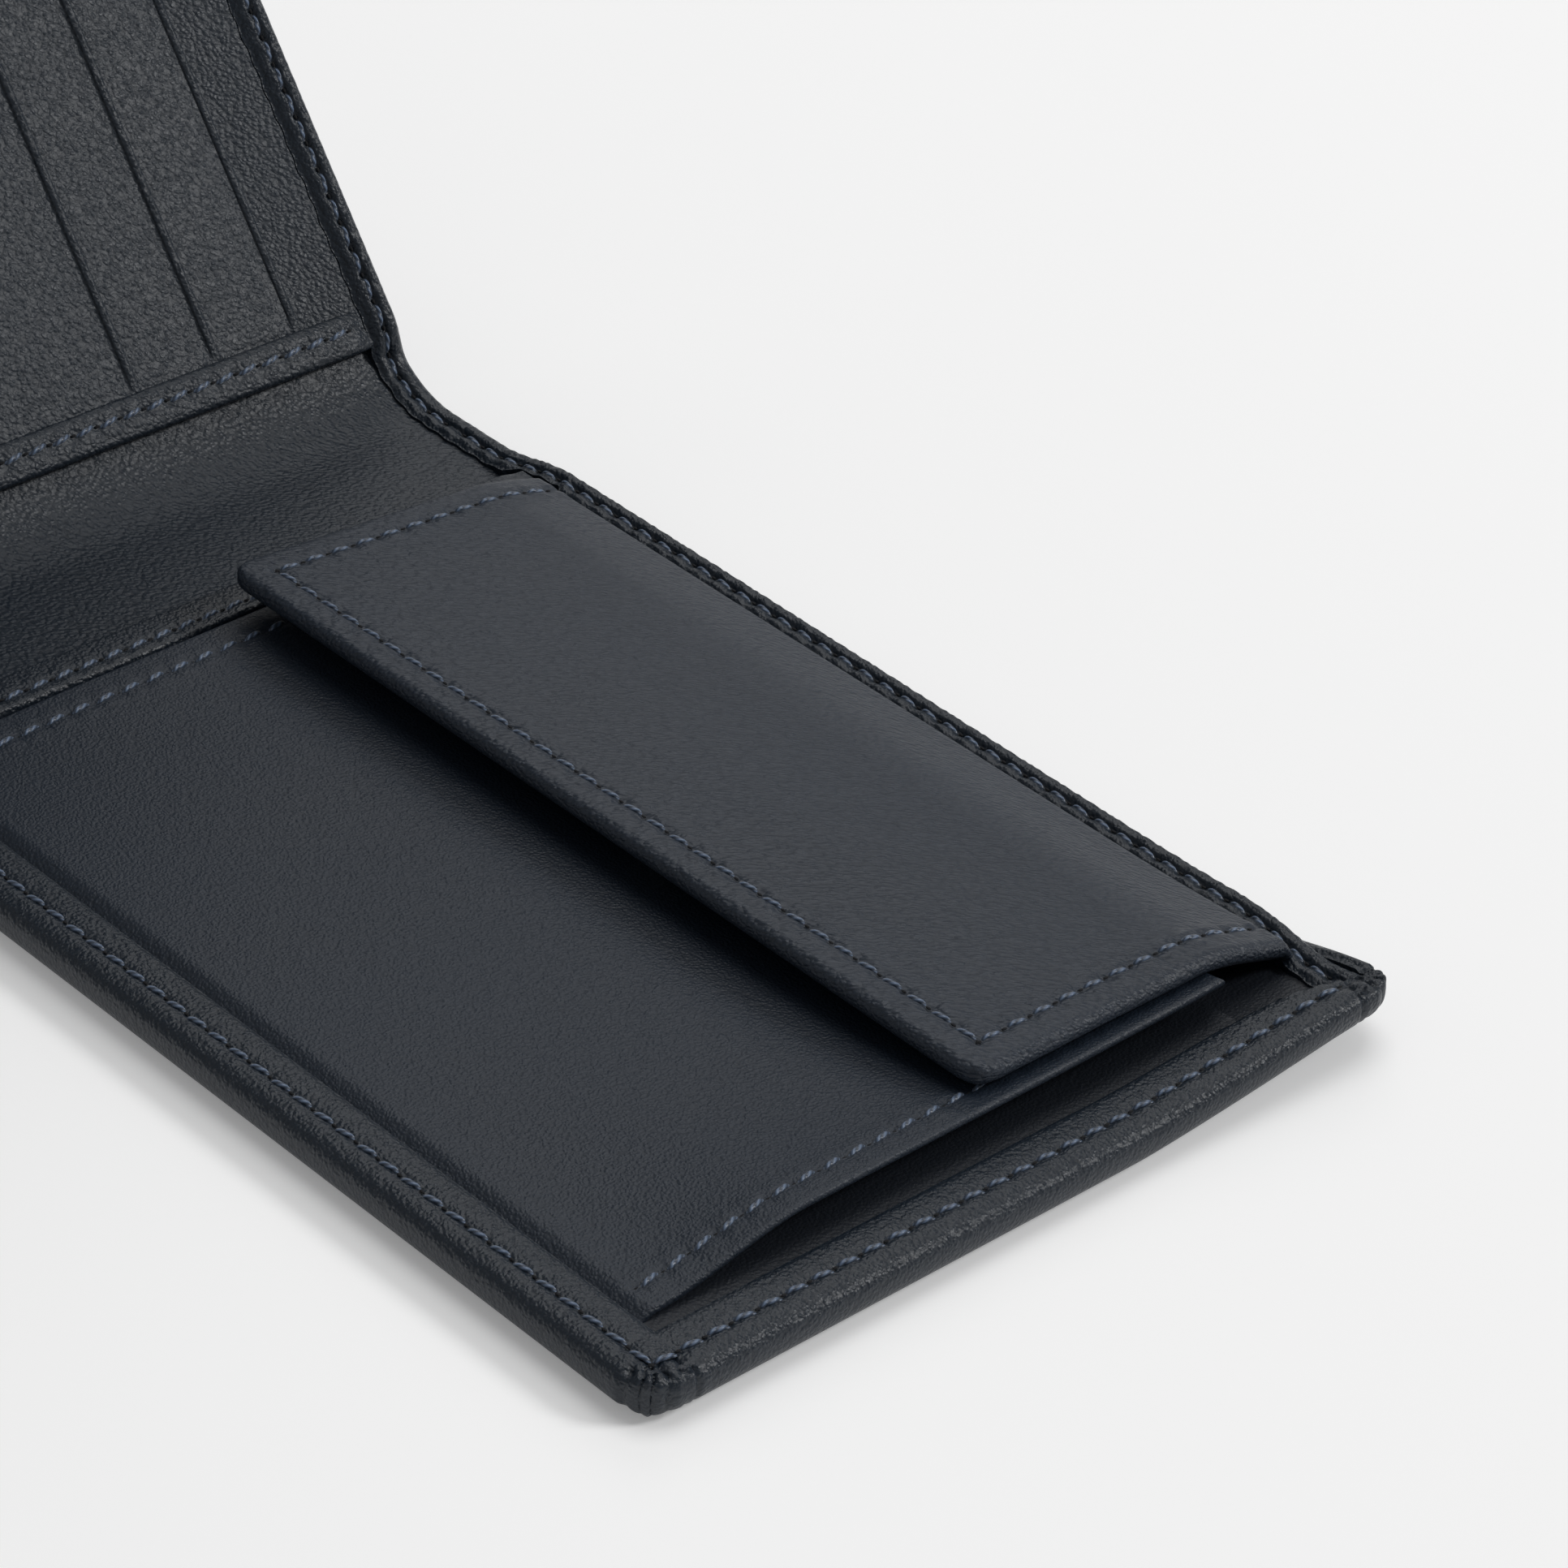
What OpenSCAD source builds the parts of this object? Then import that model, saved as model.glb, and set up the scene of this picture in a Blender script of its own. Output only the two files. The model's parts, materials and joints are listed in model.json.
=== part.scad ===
// Trifold wallet with a flap-over coin pocket.
//
// Three leaves are joined by a wide spine and a narrow wing fold. The coin leaf lies flat
// and carries the coin pocket, the card leaf leans back from the spine, and the wing leans
// back over the card leaf. The origin is the middle of the coin leaf's underside: X runs
// from the spine to the outer edge, Y from the lower edge to the top edge, Z is up.
// Each leaf is drawn flat, with its outer leather at height 0, and then folded into place.

/* [Overall size] */
// Height of the wallet, from the lower edge to the top edge
leaf_h = 95; // [92:1:100]
// Width of the coin leaf, from the spine crease to the outer edge
coin_w = 124; // [118:1:130]
// Width of the spine between its two fold lines
spine_w = 19.6; // [18:0.2:24]

/* [Leather and edges] */
// Thickness of the outer leather
hide_t = 0.8; // [0.7:0.05:0.9]
// Width of the edge that is turned in and stitched down
border_w = 6.6; // [6:0.2:7.2]
// Width of the hem along the top edge
hem_w = 4; // [3.6:0.2:4.2]
// Thickness of the coin leaf at its edge
coin_edge_t = 4.4; // [4.2:0.1:4.6]
// Thickness of the card leaf at its edge
card_edge_t = 4.2; // [4:0.1:4.4]
// Thickness of the wing at its edge
wing_edge_t = 3.6; // [3.4:0.1:3.8]
// Corner radius of the outer corners
corner_r = 4; // [3:0.5:5]
// Thickness of the sewing thread
thread_d = 0.45; // [0.3:0.05:0.5]

/* [Coin pocket] */
// Width of the coin pocket
pocket_w = 108.4; // [100:0.2:110]
// Height of the pocket front, from the lower border to the mouth
front_l = 71.6; // [66:0.2:73]
// Thickness of the pocket front
front_t = 1; // [0.9:0.1:1.2]
// Depth of the folded bellows at each side of the pocket
gusset_d = 8; // [6:0.5:10]
// Width of the flap
flap_w = 109; // [104:0.5:110]
// Thickness of the flap
flap_t = 2.2; // [2:0.1:2.3]
// Radius of the snap fastener
snap_r = 5.2; // [4.5:0.1:5.5]

/* [Cards] */
// Step from one card slot to the next
slot_step = 11; // [9:0.5:12]
// Thickness of one card slot's leather
slot_t = 0.4; // [0.35:0.05:0.4]

/* [Resting pose] */
// Angle at which the card leaf leans up from the table
card_lift = 50; // [30:1:60]
// Bend at each side of the wing fold
wing_bend = 40; // [30:1:45]

/* [Hidden] */
$fn = 48;

navy = [0.10, 0.13, 0.18];
navy_dark = [0.07, 0.09, 0.13];
navy_lining = [0.16, 0.19, 0.25];
board_grey = [0.45, 0.42, 0.38];
thread_blue = [0.25, 0.32, 0.47];
steel = [0.62, 0.63, 0.65];

// Layers, as heights above the outer face of a leaf
board_t = 0.3;
cloth_t = 0.2;
board_z = hide_t;
bill_lining_z = hide_t + board_t;
coin_back_z = 1.6;
coin_back_t = 0.8;
spine_t = 2.4;
inner_z = 0.9;
inner_t = 0.65;
card_back_z = 1.4;
card_back_t = 0.6;
wing_back_z = 1.1;
wing_back_t = 0.5;

// Each fold line is half the spine's thickness up. A strip stops strip_gap short of it, and
// a leaf fold_gap short of it, so that the two can turn square without touching.
fold_z = spine_t / 2;
fold_gap = 1.5;
strip_gap = 0.3;
spine_fold_x = -fold_gap;
card_w = coin_w - 2;
wing_fold_w = 7;
wing_w = coin_w - 16;
spine_x0 = strip_gap - spine_w;
spine_x1 = -strip_gap;
card_x0 = fold_gap - card_w;
card_x1 = -fold_gap;
wing_fold_x0 = strip_gap - wing_fold_w;
wing_fold_x1 = -strip_gap;
wing_x0 = -wing_w;
wing_x1 = -fold_gap;

// Edges, hems and the strips that frame the card panels
inner_lap = 1.6;
slot_depth_x = 1.4;
panel_inset = 6.4;
panel_x1 = -panel_inset;
wing_panel_x1 = -fold_gap - 1;
edge_strip_w = 4.6;
edge_strip_t = 1.4;
wing_strip_t = 1.2;
thread_inset = 3.2;
thread_stop = 3.4;
panel_thread_inset = 2.5;
hem_thread_y = leaf_h - hem_w / 2;
hem_y = leaf_h - hem_w;
hem_t = 0.8;
edge_clear = 0.1;

// Card slots, three to a leaf
slot_n = 3;
slot_low_y = leaf_h - hem_w - 7 - 2 * slot_step;
slot_side = 1.2;
slot_base_y = inner_lap;

// Coin pocket, in the coin leaf's own frame with X from the crease and Y from the lower edge
pocket_x = 6.8;
front_y = border_w + 0.8;
front_z = 3.3;
front_tilt = 0.4;
front_turn = 3;
front_lining_t = 0.3;
front_thread_inset = 3.2;
flange_x = 5.6;
flange_thread_x = 3.6;
flange_top = 3.8;
flange_y = 84;
gusset_t = 0.25;
gusset_gap = 0.1;
gusset_lap = 0.6;
gusset_fold_inset = 1.4;

// Flap, whose top runs from the hinge over a knee to the free edge
flap_x = 4.5;
flap_hinge_y = hem_y - 0.7;
flap_hinge_z = 4.9;
flap_knee_y = flap_hinge_y - 10.3;
flap_knee_z = 8.4;
flap_free_y = flap_hinge_y - 41.9;
flap_free_z = 10;
flap_wall = 1;
flap_board_z = 0.8;
flap_lining_z = 1.3;
flap_thread_inset = 3.8;
flap_slope = (flap_free_z - flap_knee_z) / (flap_knee_y - flap_free_y);

// Snap fastener
snap_x = coin_w / 2 - 1;
snap_y = flap_free_y + 10.7;
stud_base_t = 0.4;
stud_knob_r = 1.9;
stud_knob_h = 0.9;
post_r = 1.2;
post_hole_r = 1.3;
socket_t = 0.6;
socket_barrel_r = 2.9;
socket_bore_r = 2.2;
snap_flap_z = flap_knee_z + flap_slope * (flap_knee_y - snap_y);

// Places a body, drawn in its own flat frame, into the folded wallet
module on_coin_leaf() {
  translate([-coin_w / 2, -leaf_h / 2, 0]) children();
}

module on_spine() {
  on_coin_leaf() translate([spine_fold_x, 0, 0]) children();
}

module on_card_leaf() {
  on_spine() translate([-spine_w, 0, fold_z]) rotate([0, card_lift, 0])
    translate([0, 0, -fold_z]) children();
}

module on_wing_fold() {
  on_card_leaf() translate([-card_w, 0, fold_z]) rotate([0, wing_bend, 0])
    translate([0, 0, -fold_z]) children();
}

module on_wing() {
  on_wing_fold() translate([-wing_fold_w, 0, fold_z]) rotate([0, wing_bend, 0])
    translate([0, 0, -fold_z]) children();
}

module on_pocket_front() {
  on_coin_leaf() translate([0, front_y, front_z]) rotate([front_tilt, 0, 0]) children();
}

// A flat sheet between two corners and two heights
module sheet(x0, x1, y0, y1, z, t) {
  translate([x0, y0, z]) cube([x1 - x0, y1 - y0, t]);
}

// Cross-section of a turned edge: a round nose, and a lip over a slot for the inner layers
module turned_edge_section(t, width) {
  difference() {
    union() {
      translate([t / 2, t / 2]) circle(d = t);
      translate([t / 2, 0]) square([width - t / 2, t]);
    }
    translate([slot_depth_x, hide_t]) square([width, t - 2 * hide_t]);
  }
}

module lower_edge(x0, x1, t) {
  translate([x0, 0, 0]) rotate([90, 0, 90]) linear_extrude(x1 - x0)
    turned_edge_section(t, border_w);
}

module upper_edge(x0, x1, t) {
  translate([0, leaf_h, 0]) mirror([0, 1, 0]) lower_edge(x0, x1, t);
}

module outer_edge(x, t) {
  translate([x, leaf_h, 0]) mirror([1, 0, 0]) rotate([90, 0, 0]) linear_extrude(leaf_h)
    turned_edge_section(t, border_w);
}

// Plan outline of a leaf, with round corners at its x1 end
module leaf_outline(x0, x1) {
  translate([x0, 0]) square([x1 - x0 - corner_r, leaf_h]);
  translate([x0, corner_r]) square([x1 - x0, leaf_h - 2 * corner_r]);
  for (y = [corner_r, leaf_h - corner_r]) {
    translate([x1 - corner_r, y]) circle(r = corner_r);
  }
}

// Hem along the top edge: a strip with a round outer edge
module top_hem(x0, x1, z, t) {
  translate([x0, 0, z]) rotate([90, 0, 90]) linear_extrude(x1 - x0) {
    translate([hem_y, 0]) square([hem_w - t / 2, t]);
    translate([leaf_h - t / 2, t / 2]) circle(d = t);
  }
}

// One seam, as a thread that lies on the leather
module seam_x(x0, x1, y, z) {
  translate([x0, y - thread_d / 2, z]) cube([x1 - x0, thread_d, thread_d]);
}

module seam_y(x, y0, y1, z) {
  translate([x - thread_d / 2, y0, z]) cube([thread_d, y1 - y0, thread_d]);
}

// ---- Coin leaf ----
module coin_leaf_shell() {
  color(navy) on_coin_leaf() intersection() {
    union() {
      sheet(0, coin_w - coin_edge_t / 2, coin_edge_t / 2, leaf_h, 0, hide_t);
      lower_edge(0, coin_w, coin_edge_t);
      outer_edge(coin_w, coin_edge_t);
    }
    linear_extrude(coin_edge_t) leaf_outline(0, coin_w);
  }
}

module coin_leaf_board() {
  color(board_grey) on_coin_leaf()
    sheet(2, coin_w - border_w, border_w, leaf_h - 2, board_z, board_t);
}

module coin_leaf_bill_lining() {
  color(navy_lining) on_coin_leaf()
    sheet(0.5, coin_w - 2, 2, leaf_h - 1, bill_lining_z, cloth_t);
}

module coin_pocket_back() {
  color(navy_lining) on_coin_leaf()
    sheet(0, coin_w - inner_lap, inner_lap, leaf_h - 0.6, coin_back_z, coin_back_t);
}

module coin_leaf_top_border() {
  color(navy) on_coin_leaf()
    top_hem(0, coin_w - border_w - 0.2, coin_back_z + coin_back_t,
            coin_edge_t - coin_back_z - coin_back_t);
}

// Bellows: two plies that meet at a fold, drawn from the flange inwards along +X
module bellows(y1) {
  z0 = coin_back_z + coin_back_t;
  ply_rise = gusset_t + gusset_gap;
  sheet(0, gusset_d, front_y, y1, z0, gusset_t);
  sheet(gusset_fold_inset, gusset_d, front_y, y1, z0 + ply_rise, gusset_t);
  sheet(gusset_d - gusset_t, gusset_d, front_y, y1, z0, ply_rise + gusset_t);
}

module coin_gusset_left() {
  z0 = coin_back_z + coin_back_t;
  color(navy_dark) on_coin_leaf() {
    sheet(0, flange_x, border_w + edge_clear, flange_y, z0, flange_top - z0);
    sheet(0, flap_x - 0.4, flange_y, hem_y, z0, flange_top - z0);
    translate([flange_x, 0, 0]) bellows(flange_y);
  }
}

module coin_gusset_right() {
  z0 = coin_back_z + coin_back_t;
  color(navy_dark) on_coin_leaf() {
    sheet(coin_w - border_w - gusset_lap, coin_w - inner_lap, front_y, hem_y - 2, z0, 1);
    translate([coin_w - border_w - gusset_lap, 0, 0]) mirror([1, 0, 0]) bellows(flange_y);
  }
}

module coin_leaf_border_thread() {
  x1 = coin_w - thread_inset;
  color(thread_blue) on_coin_leaf() {
    seam_x(1, x1, thread_inset, coin_edge_t);
    seam_y(x1, thread_inset, leaf_h - thread_inset, coin_edge_t);
  }
}

module coin_leaf_top_thread() {
  color(thread_blue) on_coin_leaf()
    seam_x(1, coin_w - border_w - 0.5, hem_thread_y, coin_edge_t);
}

module coin_gusset_thread() {
  color(thread_blue) on_coin_leaf() seam_y(flange_thread_x, front_y, hem_y - 0.5, flange_top);
}

// ---- Pocket front ----
module front_sheet(inset, z, t) {
  sheet(pocket_x + inset, pocket_x + pocket_w - inset, 0, front_l - inset, z, t);
}

module coin_pocket_front() {
  color(navy) on_pocket_front() difference() {
    front_sheet(0, 0, front_t);
    front_sheet(front_turn, -1, 1 + front_lining_t);
    translate([snap_x, snap_y - front_y, 0]) cylinder(r = post_hole_r, h = 3);
  }
}

module coin_pocket_front_lining() {
  color(navy_lining) on_pocket_front() difference() {
    front_sheet(front_turn, 0, front_lining_t);
    translate([snap_x, snap_y - front_y, -1]) cylinder(r = post_hole_r, h = 3);
  }
}

module coin_pocket_front_thread() {
  color(thread_blue) on_pocket_front() {
    for (x = [pocket_x + front_thread_inset, pocket_x + pocket_w - front_thread_inset]) {
      seam_y(x, 0.5, front_l - 1, front_t);
    }
  }
}

module snap_stud() {
  color(steel) on_pocket_front() translate([snap_x, snap_y - front_y, front_t]) {
    cylinder(r = snap_r - 0.4, h = stud_base_t);
    cylinder(r = stud_knob_r, h = stud_base_t + stud_knob_h);
  }
}

module snap_stud_post() {
  color(steel) on_pocket_front() translate([snap_x, snap_y - front_y, -stud_base_t]) {
    cylinder(r = snap_r - 0.4, h = stud_base_t);
    cylinder(r = post_r, h = stud_base_t + front_t);
  }
}

// ---- Flap ----
// A layer of the flap from depth d0 to depth d1 below its top, set in from its three free edges
module flap_layer(inset, d0, d1) {
  x0 = flap_x + inset;
  y_end = flap_free_y + inset;
  z_end = flap_free_z - flap_slope * inset;
  intersection() {
    translate([x0, 0, 0]) rotate([90, 0, 90]) linear_extrude(flap_w - 2 * inset) polygon([
      [flap_hinge_y, flap_hinge_z - d0],
      [flap_knee_y, flap_knee_z - d0],
      [y_end, z_end - d0],
      [y_end, z_end - d1],
      [flap_knee_y, flap_knee_z - d1],
      [flap_hinge_y, flap_hinge_z - d1]
    ]);
    flap_outline(inset);
  }
}

module flap_outline(inset) {
  r = corner_r - inset;
  x0 = flap_x + inset;
  x1 = flap_x + flap_w - inset;
  y0 = flap_free_y + inset;
  linear_extrude(flap_free_z + 1) {
    translate([x0, y0 + r]) square([x1 - x0, leaf_h - y0]);
    translate([x0 + r, y0]) square([x1 - x0 - 2 * r, r + 1]);
    for (x = [x0 + r, x1 - r]) {
      translate([x, y0 + r]) circle(r = r);
    }
  }
}

module coin_flap_leather() {
  color(navy) on_coin_leaf() difference() {
    flap_layer(0, 0, flap_t);
    flap_layer(flap_wall, flap_board_z, flap_t + 1);
  }
}

module coin_flap_board() {
  color(board_grey) on_coin_leaf() difference() {
    flap_layer(flap_wall, flap_board_z, flap_lining_z);
    translate([snap_x, snap_y, 0]) cylinder(r = snap_r + 0.1, h = 20);
  }
}

module coin_flap_lining() {
  color(navy_dark) on_coin_leaf() difference() {
    flap_layer(flap_wall, flap_lining_z, flap_t);
    translate([snap_x, snap_y, 0]) cylinder(r = socket_barrel_r + 0.1, h = 20);
  }
}

// The thread follows the flap's top along both sides and the free edge
module flap_side_seam(x) {
  translate([x - thread_d / 2, 0, 0]) rotate([90, 0, 90]) linear_extrude(thread_d) polygon([
    [flap_knee_y, flap_knee_z],
    [flap_free_y + flap_thread_inset, flap_free_z - flap_slope * flap_thread_inset],
    [flap_free_y + flap_thread_inset, flap_free_z - flap_slope * flap_thread_inset + thread_d],
    [flap_knee_y, flap_knee_z + thread_d]
  ]);
}

module coin_flap_thread() {
  x0 = flap_x + flap_thread_inset;
  x1 = flap_x + flap_w - flap_thread_inset;
  color(thread_blue) on_coin_leaf() {
    flap_side_seam(x0);
    flap_side_seam(x1);
    seam_x(x0, x1, flap_free_y + flap_thread_inset,
           flap_free_z - flap_slope * (flap_thread_inset - thread_d / 2));
  }
}

module snap_socket() {
  flange_z = snap_flap_z - flap_t - socket_t;
  color(steel) on_coin_leaf() translate([snap_x, snap_y, flange_z]) difference() {
    union() {
      cylinder(r = snap_r, h = socket_t - flap_slope * snap_r);
      cylinder(r = socket_barrel_r, h = socket_t + flap_t - flap_lining_z - flap_slope * snap_r);
    }
    translate([0, 0, -1]) cylinder(r = socket_bore_r, h = 5);
  }
}

module snap_cap() {
  color(steel) on_coin_leaf() intersection() {
    flap_layer(flap_wall, flap_board_z, flap_lining_z);
    translate([snap_x, snap_y, 0]) cylinder(r = snap_r, h = 20);
  }
}

// ---- Spine ----
module spine_shell() {
  color(navy) on_spine() {
    sheet(spine_x0, spine_x1, spine_t / 2, leaf_h, 0, hide_t);
    lower_edge(spine_x0, spine_x1, spine_t);
  }
}

module spine_inner_leather() {
  color(navy) on_spine() sheet(spine_x0, spine_x1, inner_lap, leaf_h - 0.4, inner_z, inner_t);
}

module spine_top_hem() {
  color(navy) on_spine() top_hem(spine_x0, spine_x1, inner_z + inner_t, hem_t);
}

module spine_thread() {
  color(thread_blue) on_spine() {
    seam_x(spine_x0 + thread_stop, spine_x1 - thread_stop, thread_inset, spine_t);
    seam_x(spine_x0 + thread_stop, spine_x1 - thread_stop, hem_thread_y, inner_z + inner_t + hem_t);
  }
}

// ---- Card leaf ----
module card_leaf_shell() {
  color(navy) on_card_leaf() {
    sheet(card_x0, card_x1, spine_t, leaf_h, 0, hide_t);
    lower_edge(panel_x1, card_x1, spine_t);
    lower_edge(card_x0, panel_x1, card_edge_t);
  }
}

module card_leaf_board() {
  color(board_grey) on_card_leaf()
    sheet(card_x0 + 2, panel_x1 - 1, border_w, leaf_h - 2, board_z, board_t);
}

module card_leaf_bill_lining() {
  color(navy_lining) on_card_leaf()
    sheet(card_x0 + 1, panel_x1, 2, leaf_h - 1, bill_lining_z, cloth_t);
}

module card_leaf_back_panel() {
  color(navy) on_card_leaf() {
    sheet(panel_x1, card_x1, inner_lap, leaf_h - 0.4, inner_z, inner_t);
    sheet(card_x0, panel_x1, inner_lap, leaf_h - 0.4, card_back_z, card_back_t);
  }
}

module card_leaf_top_hem() {
  color(navy) on_card_leaf() {
    top_hem(panel_x1, card_x1, inner_z + inner_t, hem_t);
    top_hem(card_x0, panel_x1, card_back_z + card_back_t, card_edge_t - card_back_z - card_back_t);
  }
}

// Slot number i, counted from the back, is one step lower and one leather thickness prouder
module card_slot(i, x0, x1, z) {
  sheet(x0, x1, slot_base_y, slot_low_y + (slot_n - 1 - i) * slot_step, z + i * slot_t, slot_t);
}

module card_leaf_slot(i) {
  color(navy) on_card_leaf()
    card_slot(i, card_x0 + edge_strip_w + slot_side, panel_x1 - edge_strip_w - slot_side,
              card_back_z + card_back_t);
}

module card_slot_upper() card_leaf_slot(0);
module card_slot_middle() card_leaf_slot(1);
module card_slot_lower() card_leaf_slot(2);

module card_panel_edges() {
  z0 = card_back_z + card_back_t;
  color(navy) on_card_leaf() {
    for (x1 = [panel_x1, card_x0 + edge_strip_w]) {
      sheet(x1 - edge_strip_w, x1, border_w + edge_clear, hem_y - edge_clear, z0, edge_strip_t);
    }
  }
}

module card_leaf_border_thread() {
  color(thread_blue) on_card_leaf() {
    seam_x(card_x0, panel_x1, thread_inset, card_edge_t);
    seam_x(panel_x1, card_x1, thread_inset, spine_t);
    seam_x(card_x0, panel_x1, hem_thread_y, card_edge_t);
    seam_x(panel_x1, card_x1, hem_thread_y, inner_z + inner_t + hem_t);
  }
}

module card_panel_thread() {
  z = card_back_z + card_back_t + edge_strip_t;
  color(thread_blue) on_card_leaf() {
    seam_y(panel_x1 - panel_thread_inset, border_w + 0.5, hem_y - 0.5, z);
    seam_y(card_x0 + panel_thread_inset, border_w + 0.5, hem_y - 0.5, z);
  }
}

// ---- Wing fold ----
module wing_fold_shell() {
  color(navy) on_wing_fold() {
    sheet(wing_fold_x0, wing_fold_x1, spine_t / 2, leaf_h - spine_t / 2, 0, hide_t);
    lower_edge(wing_fold_x0, wing_fold_x1, spine_t);
    upper_edge(wing_fold_x0, wing_fold_x1, spine_t);
  }
}

module wing_fold_inner_leather() {
  color(navy) on_wing_fold()
    sheet(wing_fold_x0, wing_fold_x1, inner_lap, leaf_h - inner_lap, inner_z, inner_t);
}

// ---- Wing ----
module wing_shell() {
  color(navy) on_wing() intersection() {
    union() {
      sheet(wing_x0 + 2, wing_x1, spine_t, leaf_h - spine_t, 0, hide_t);
      lower_edge(wing_x0, wing_x1, wing_edge_t);
      upper_edge(wing_x0, wing_x1, wing_edge_t);
      mirror([1, 0, 0]) outer_edge(-wing_x0, wing_edge_t);
    }
    mirror([1, 0, 0]) linear_extrude(wing_edge_t) leaf_outline(-wing_x1, -wing_x0);
  }
}

module wing_board() {
  color(board_grey) on_wing()
    sheet(wing_x0 + border_w, wing_x1 - 2, border_w, leaf_h - border_w, board_z, board_t);
}

module wing_back_panel() {
  color(navy) on_wing()
    sheet(wing_x0 + inner_lap, wing_x1, inner_lap, leaf_h - inner_lap, wing_back_z, wing_back_t);
}

module wing_slot(i) {
  color(navy) on_wing()
    card_slot(i, wing_x0 + 3, wing_panel_x1 - edge_strip_w - slot_side, wing_back_z + wing_back_t);
}

module wing_slot_upper() wing_slot(0);
module wing_slot_middle() wing_slot(1);
module wing_slot_lower() wing_slot(2);

module wing_panel_edge() {
  color(navy) on_wing()
    sheet(wing_panel_x1 - edge_strip_w, wing_panel_x1, border_w + edge_clear,
          leaf_h - border_w - edge_clear, wing_back_z + wing_back_t, wing_strip_t);
}

module wing_border_thread() {
  x0 = wing_x0 + thread_inset;
  color(thread_blue) on_wing() {
    for (y = [thread_inset, leaf_h - thread_inset]) {
      seam_x(x0, wing_x1 - 0.5, y, wing_edge_t);
    }
    seam_y(x0, thread_inset, leaf_h - thread_inset, wing_edge_t);
  }
}

module wing_panel_thread() {
  color(thread_blue) on_wing()
    seam_y(wing_panel_x1 - panel_thread_inset, border_w + 0.5, leaf_h - border_w - 0.5,
           wing_back_z + wing_back_t + wing_strip_t);
}

coin_leaf_shell();
coin_leaf_board();
coin_leaf_bill_lining();
coin_pocket_back();
coin_leaf_top_border();
coin_gusset_left();
coin_gusset_right();
coin_leaf_border_thread();
coin_leaf_top_thread();
coin_gusset_thread();
coin_pocket_front();
coin_pocket_front_lining();
coin_pocket_front_thread();
snap_stud();
snap_stud_post();
coin_flap_leather();
coin_flap_board();
coin_flap_lining();
coin_flap_thread();
snap_socket();
snap_cap();
spine_shell();
spine_inner_leather();
spine_top_hem();
spine_thread();
card_leaf_shell();
card_leaf_board();
card_leaf_bill_lining();
card_leaf_back_panel();
card_leaf_top_hem();
card_slot_upper();
card_slot_middle();
card_slot_lower();
card_panel_edges();
card_leaf_border_thread();
card_panel_thread();
wing_fold_shell();
wing_fold_inner_leather();
wing_shell();
wing_board();
wing_back_panel();
wing_slot_upper();
wing_slot_middle();
wing_slot_lower();
wing_panel_edge();
wing_border_thread();
wing_panel_thread();
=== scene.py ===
# %% [markdown]
# # A trifold leather wallet with a coin pocket
#
# The wallet is one long strip of outer leather, folded at both sides of the spine and again at the
# wing. The CAD frame fixes where every leaf lies and where it folds. This lesson dresses that frame:
# each leather piece is cut as a flat grid, shaped over its leaf, closed with an underside, and sewn
# with one small modelled stitch that is copied along every seam.

# %% Load the frame
import json
import math

import bpy
import numpy as np
from mathutils import Matrix, Vector


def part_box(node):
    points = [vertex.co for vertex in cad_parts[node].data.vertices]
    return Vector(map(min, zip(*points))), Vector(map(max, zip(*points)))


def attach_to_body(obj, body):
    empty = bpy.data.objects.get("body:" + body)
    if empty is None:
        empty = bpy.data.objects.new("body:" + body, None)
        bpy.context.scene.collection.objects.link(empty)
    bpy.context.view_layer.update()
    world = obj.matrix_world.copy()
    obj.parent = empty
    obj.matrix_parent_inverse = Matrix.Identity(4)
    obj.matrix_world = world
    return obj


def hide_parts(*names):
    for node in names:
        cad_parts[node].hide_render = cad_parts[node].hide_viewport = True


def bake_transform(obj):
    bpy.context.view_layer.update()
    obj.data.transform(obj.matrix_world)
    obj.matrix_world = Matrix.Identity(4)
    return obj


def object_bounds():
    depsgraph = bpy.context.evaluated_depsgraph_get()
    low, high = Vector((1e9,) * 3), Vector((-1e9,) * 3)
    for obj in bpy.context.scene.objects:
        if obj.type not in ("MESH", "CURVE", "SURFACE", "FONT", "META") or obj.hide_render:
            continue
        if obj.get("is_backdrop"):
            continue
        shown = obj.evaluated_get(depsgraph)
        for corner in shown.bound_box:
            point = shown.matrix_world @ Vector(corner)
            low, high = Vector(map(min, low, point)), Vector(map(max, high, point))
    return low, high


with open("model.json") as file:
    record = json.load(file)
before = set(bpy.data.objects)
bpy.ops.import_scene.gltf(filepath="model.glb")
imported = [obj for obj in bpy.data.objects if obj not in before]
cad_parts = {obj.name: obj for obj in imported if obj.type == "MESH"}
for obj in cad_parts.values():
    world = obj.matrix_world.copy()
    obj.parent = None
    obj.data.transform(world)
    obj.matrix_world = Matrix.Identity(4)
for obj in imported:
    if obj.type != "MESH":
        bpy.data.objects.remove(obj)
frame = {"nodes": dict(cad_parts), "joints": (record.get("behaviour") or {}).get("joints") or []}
cad_low, cad_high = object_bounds()
print("CAD box, metres:", [round(x, 4) for x in (*cad_low, *cad_high)])

# %% [markdown]
# ## Sizes
#
# A leather worker marks a wallet out flat. All sizes here are in millimetres, on the flat leather:
# x runs from the coin leaf's crease to its outer edge, y from the lower edge to the top edge, and n
# is the height above the outer face. The folds come from the frame's joints, so a new CAD size moves
# the leather with it.

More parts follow.
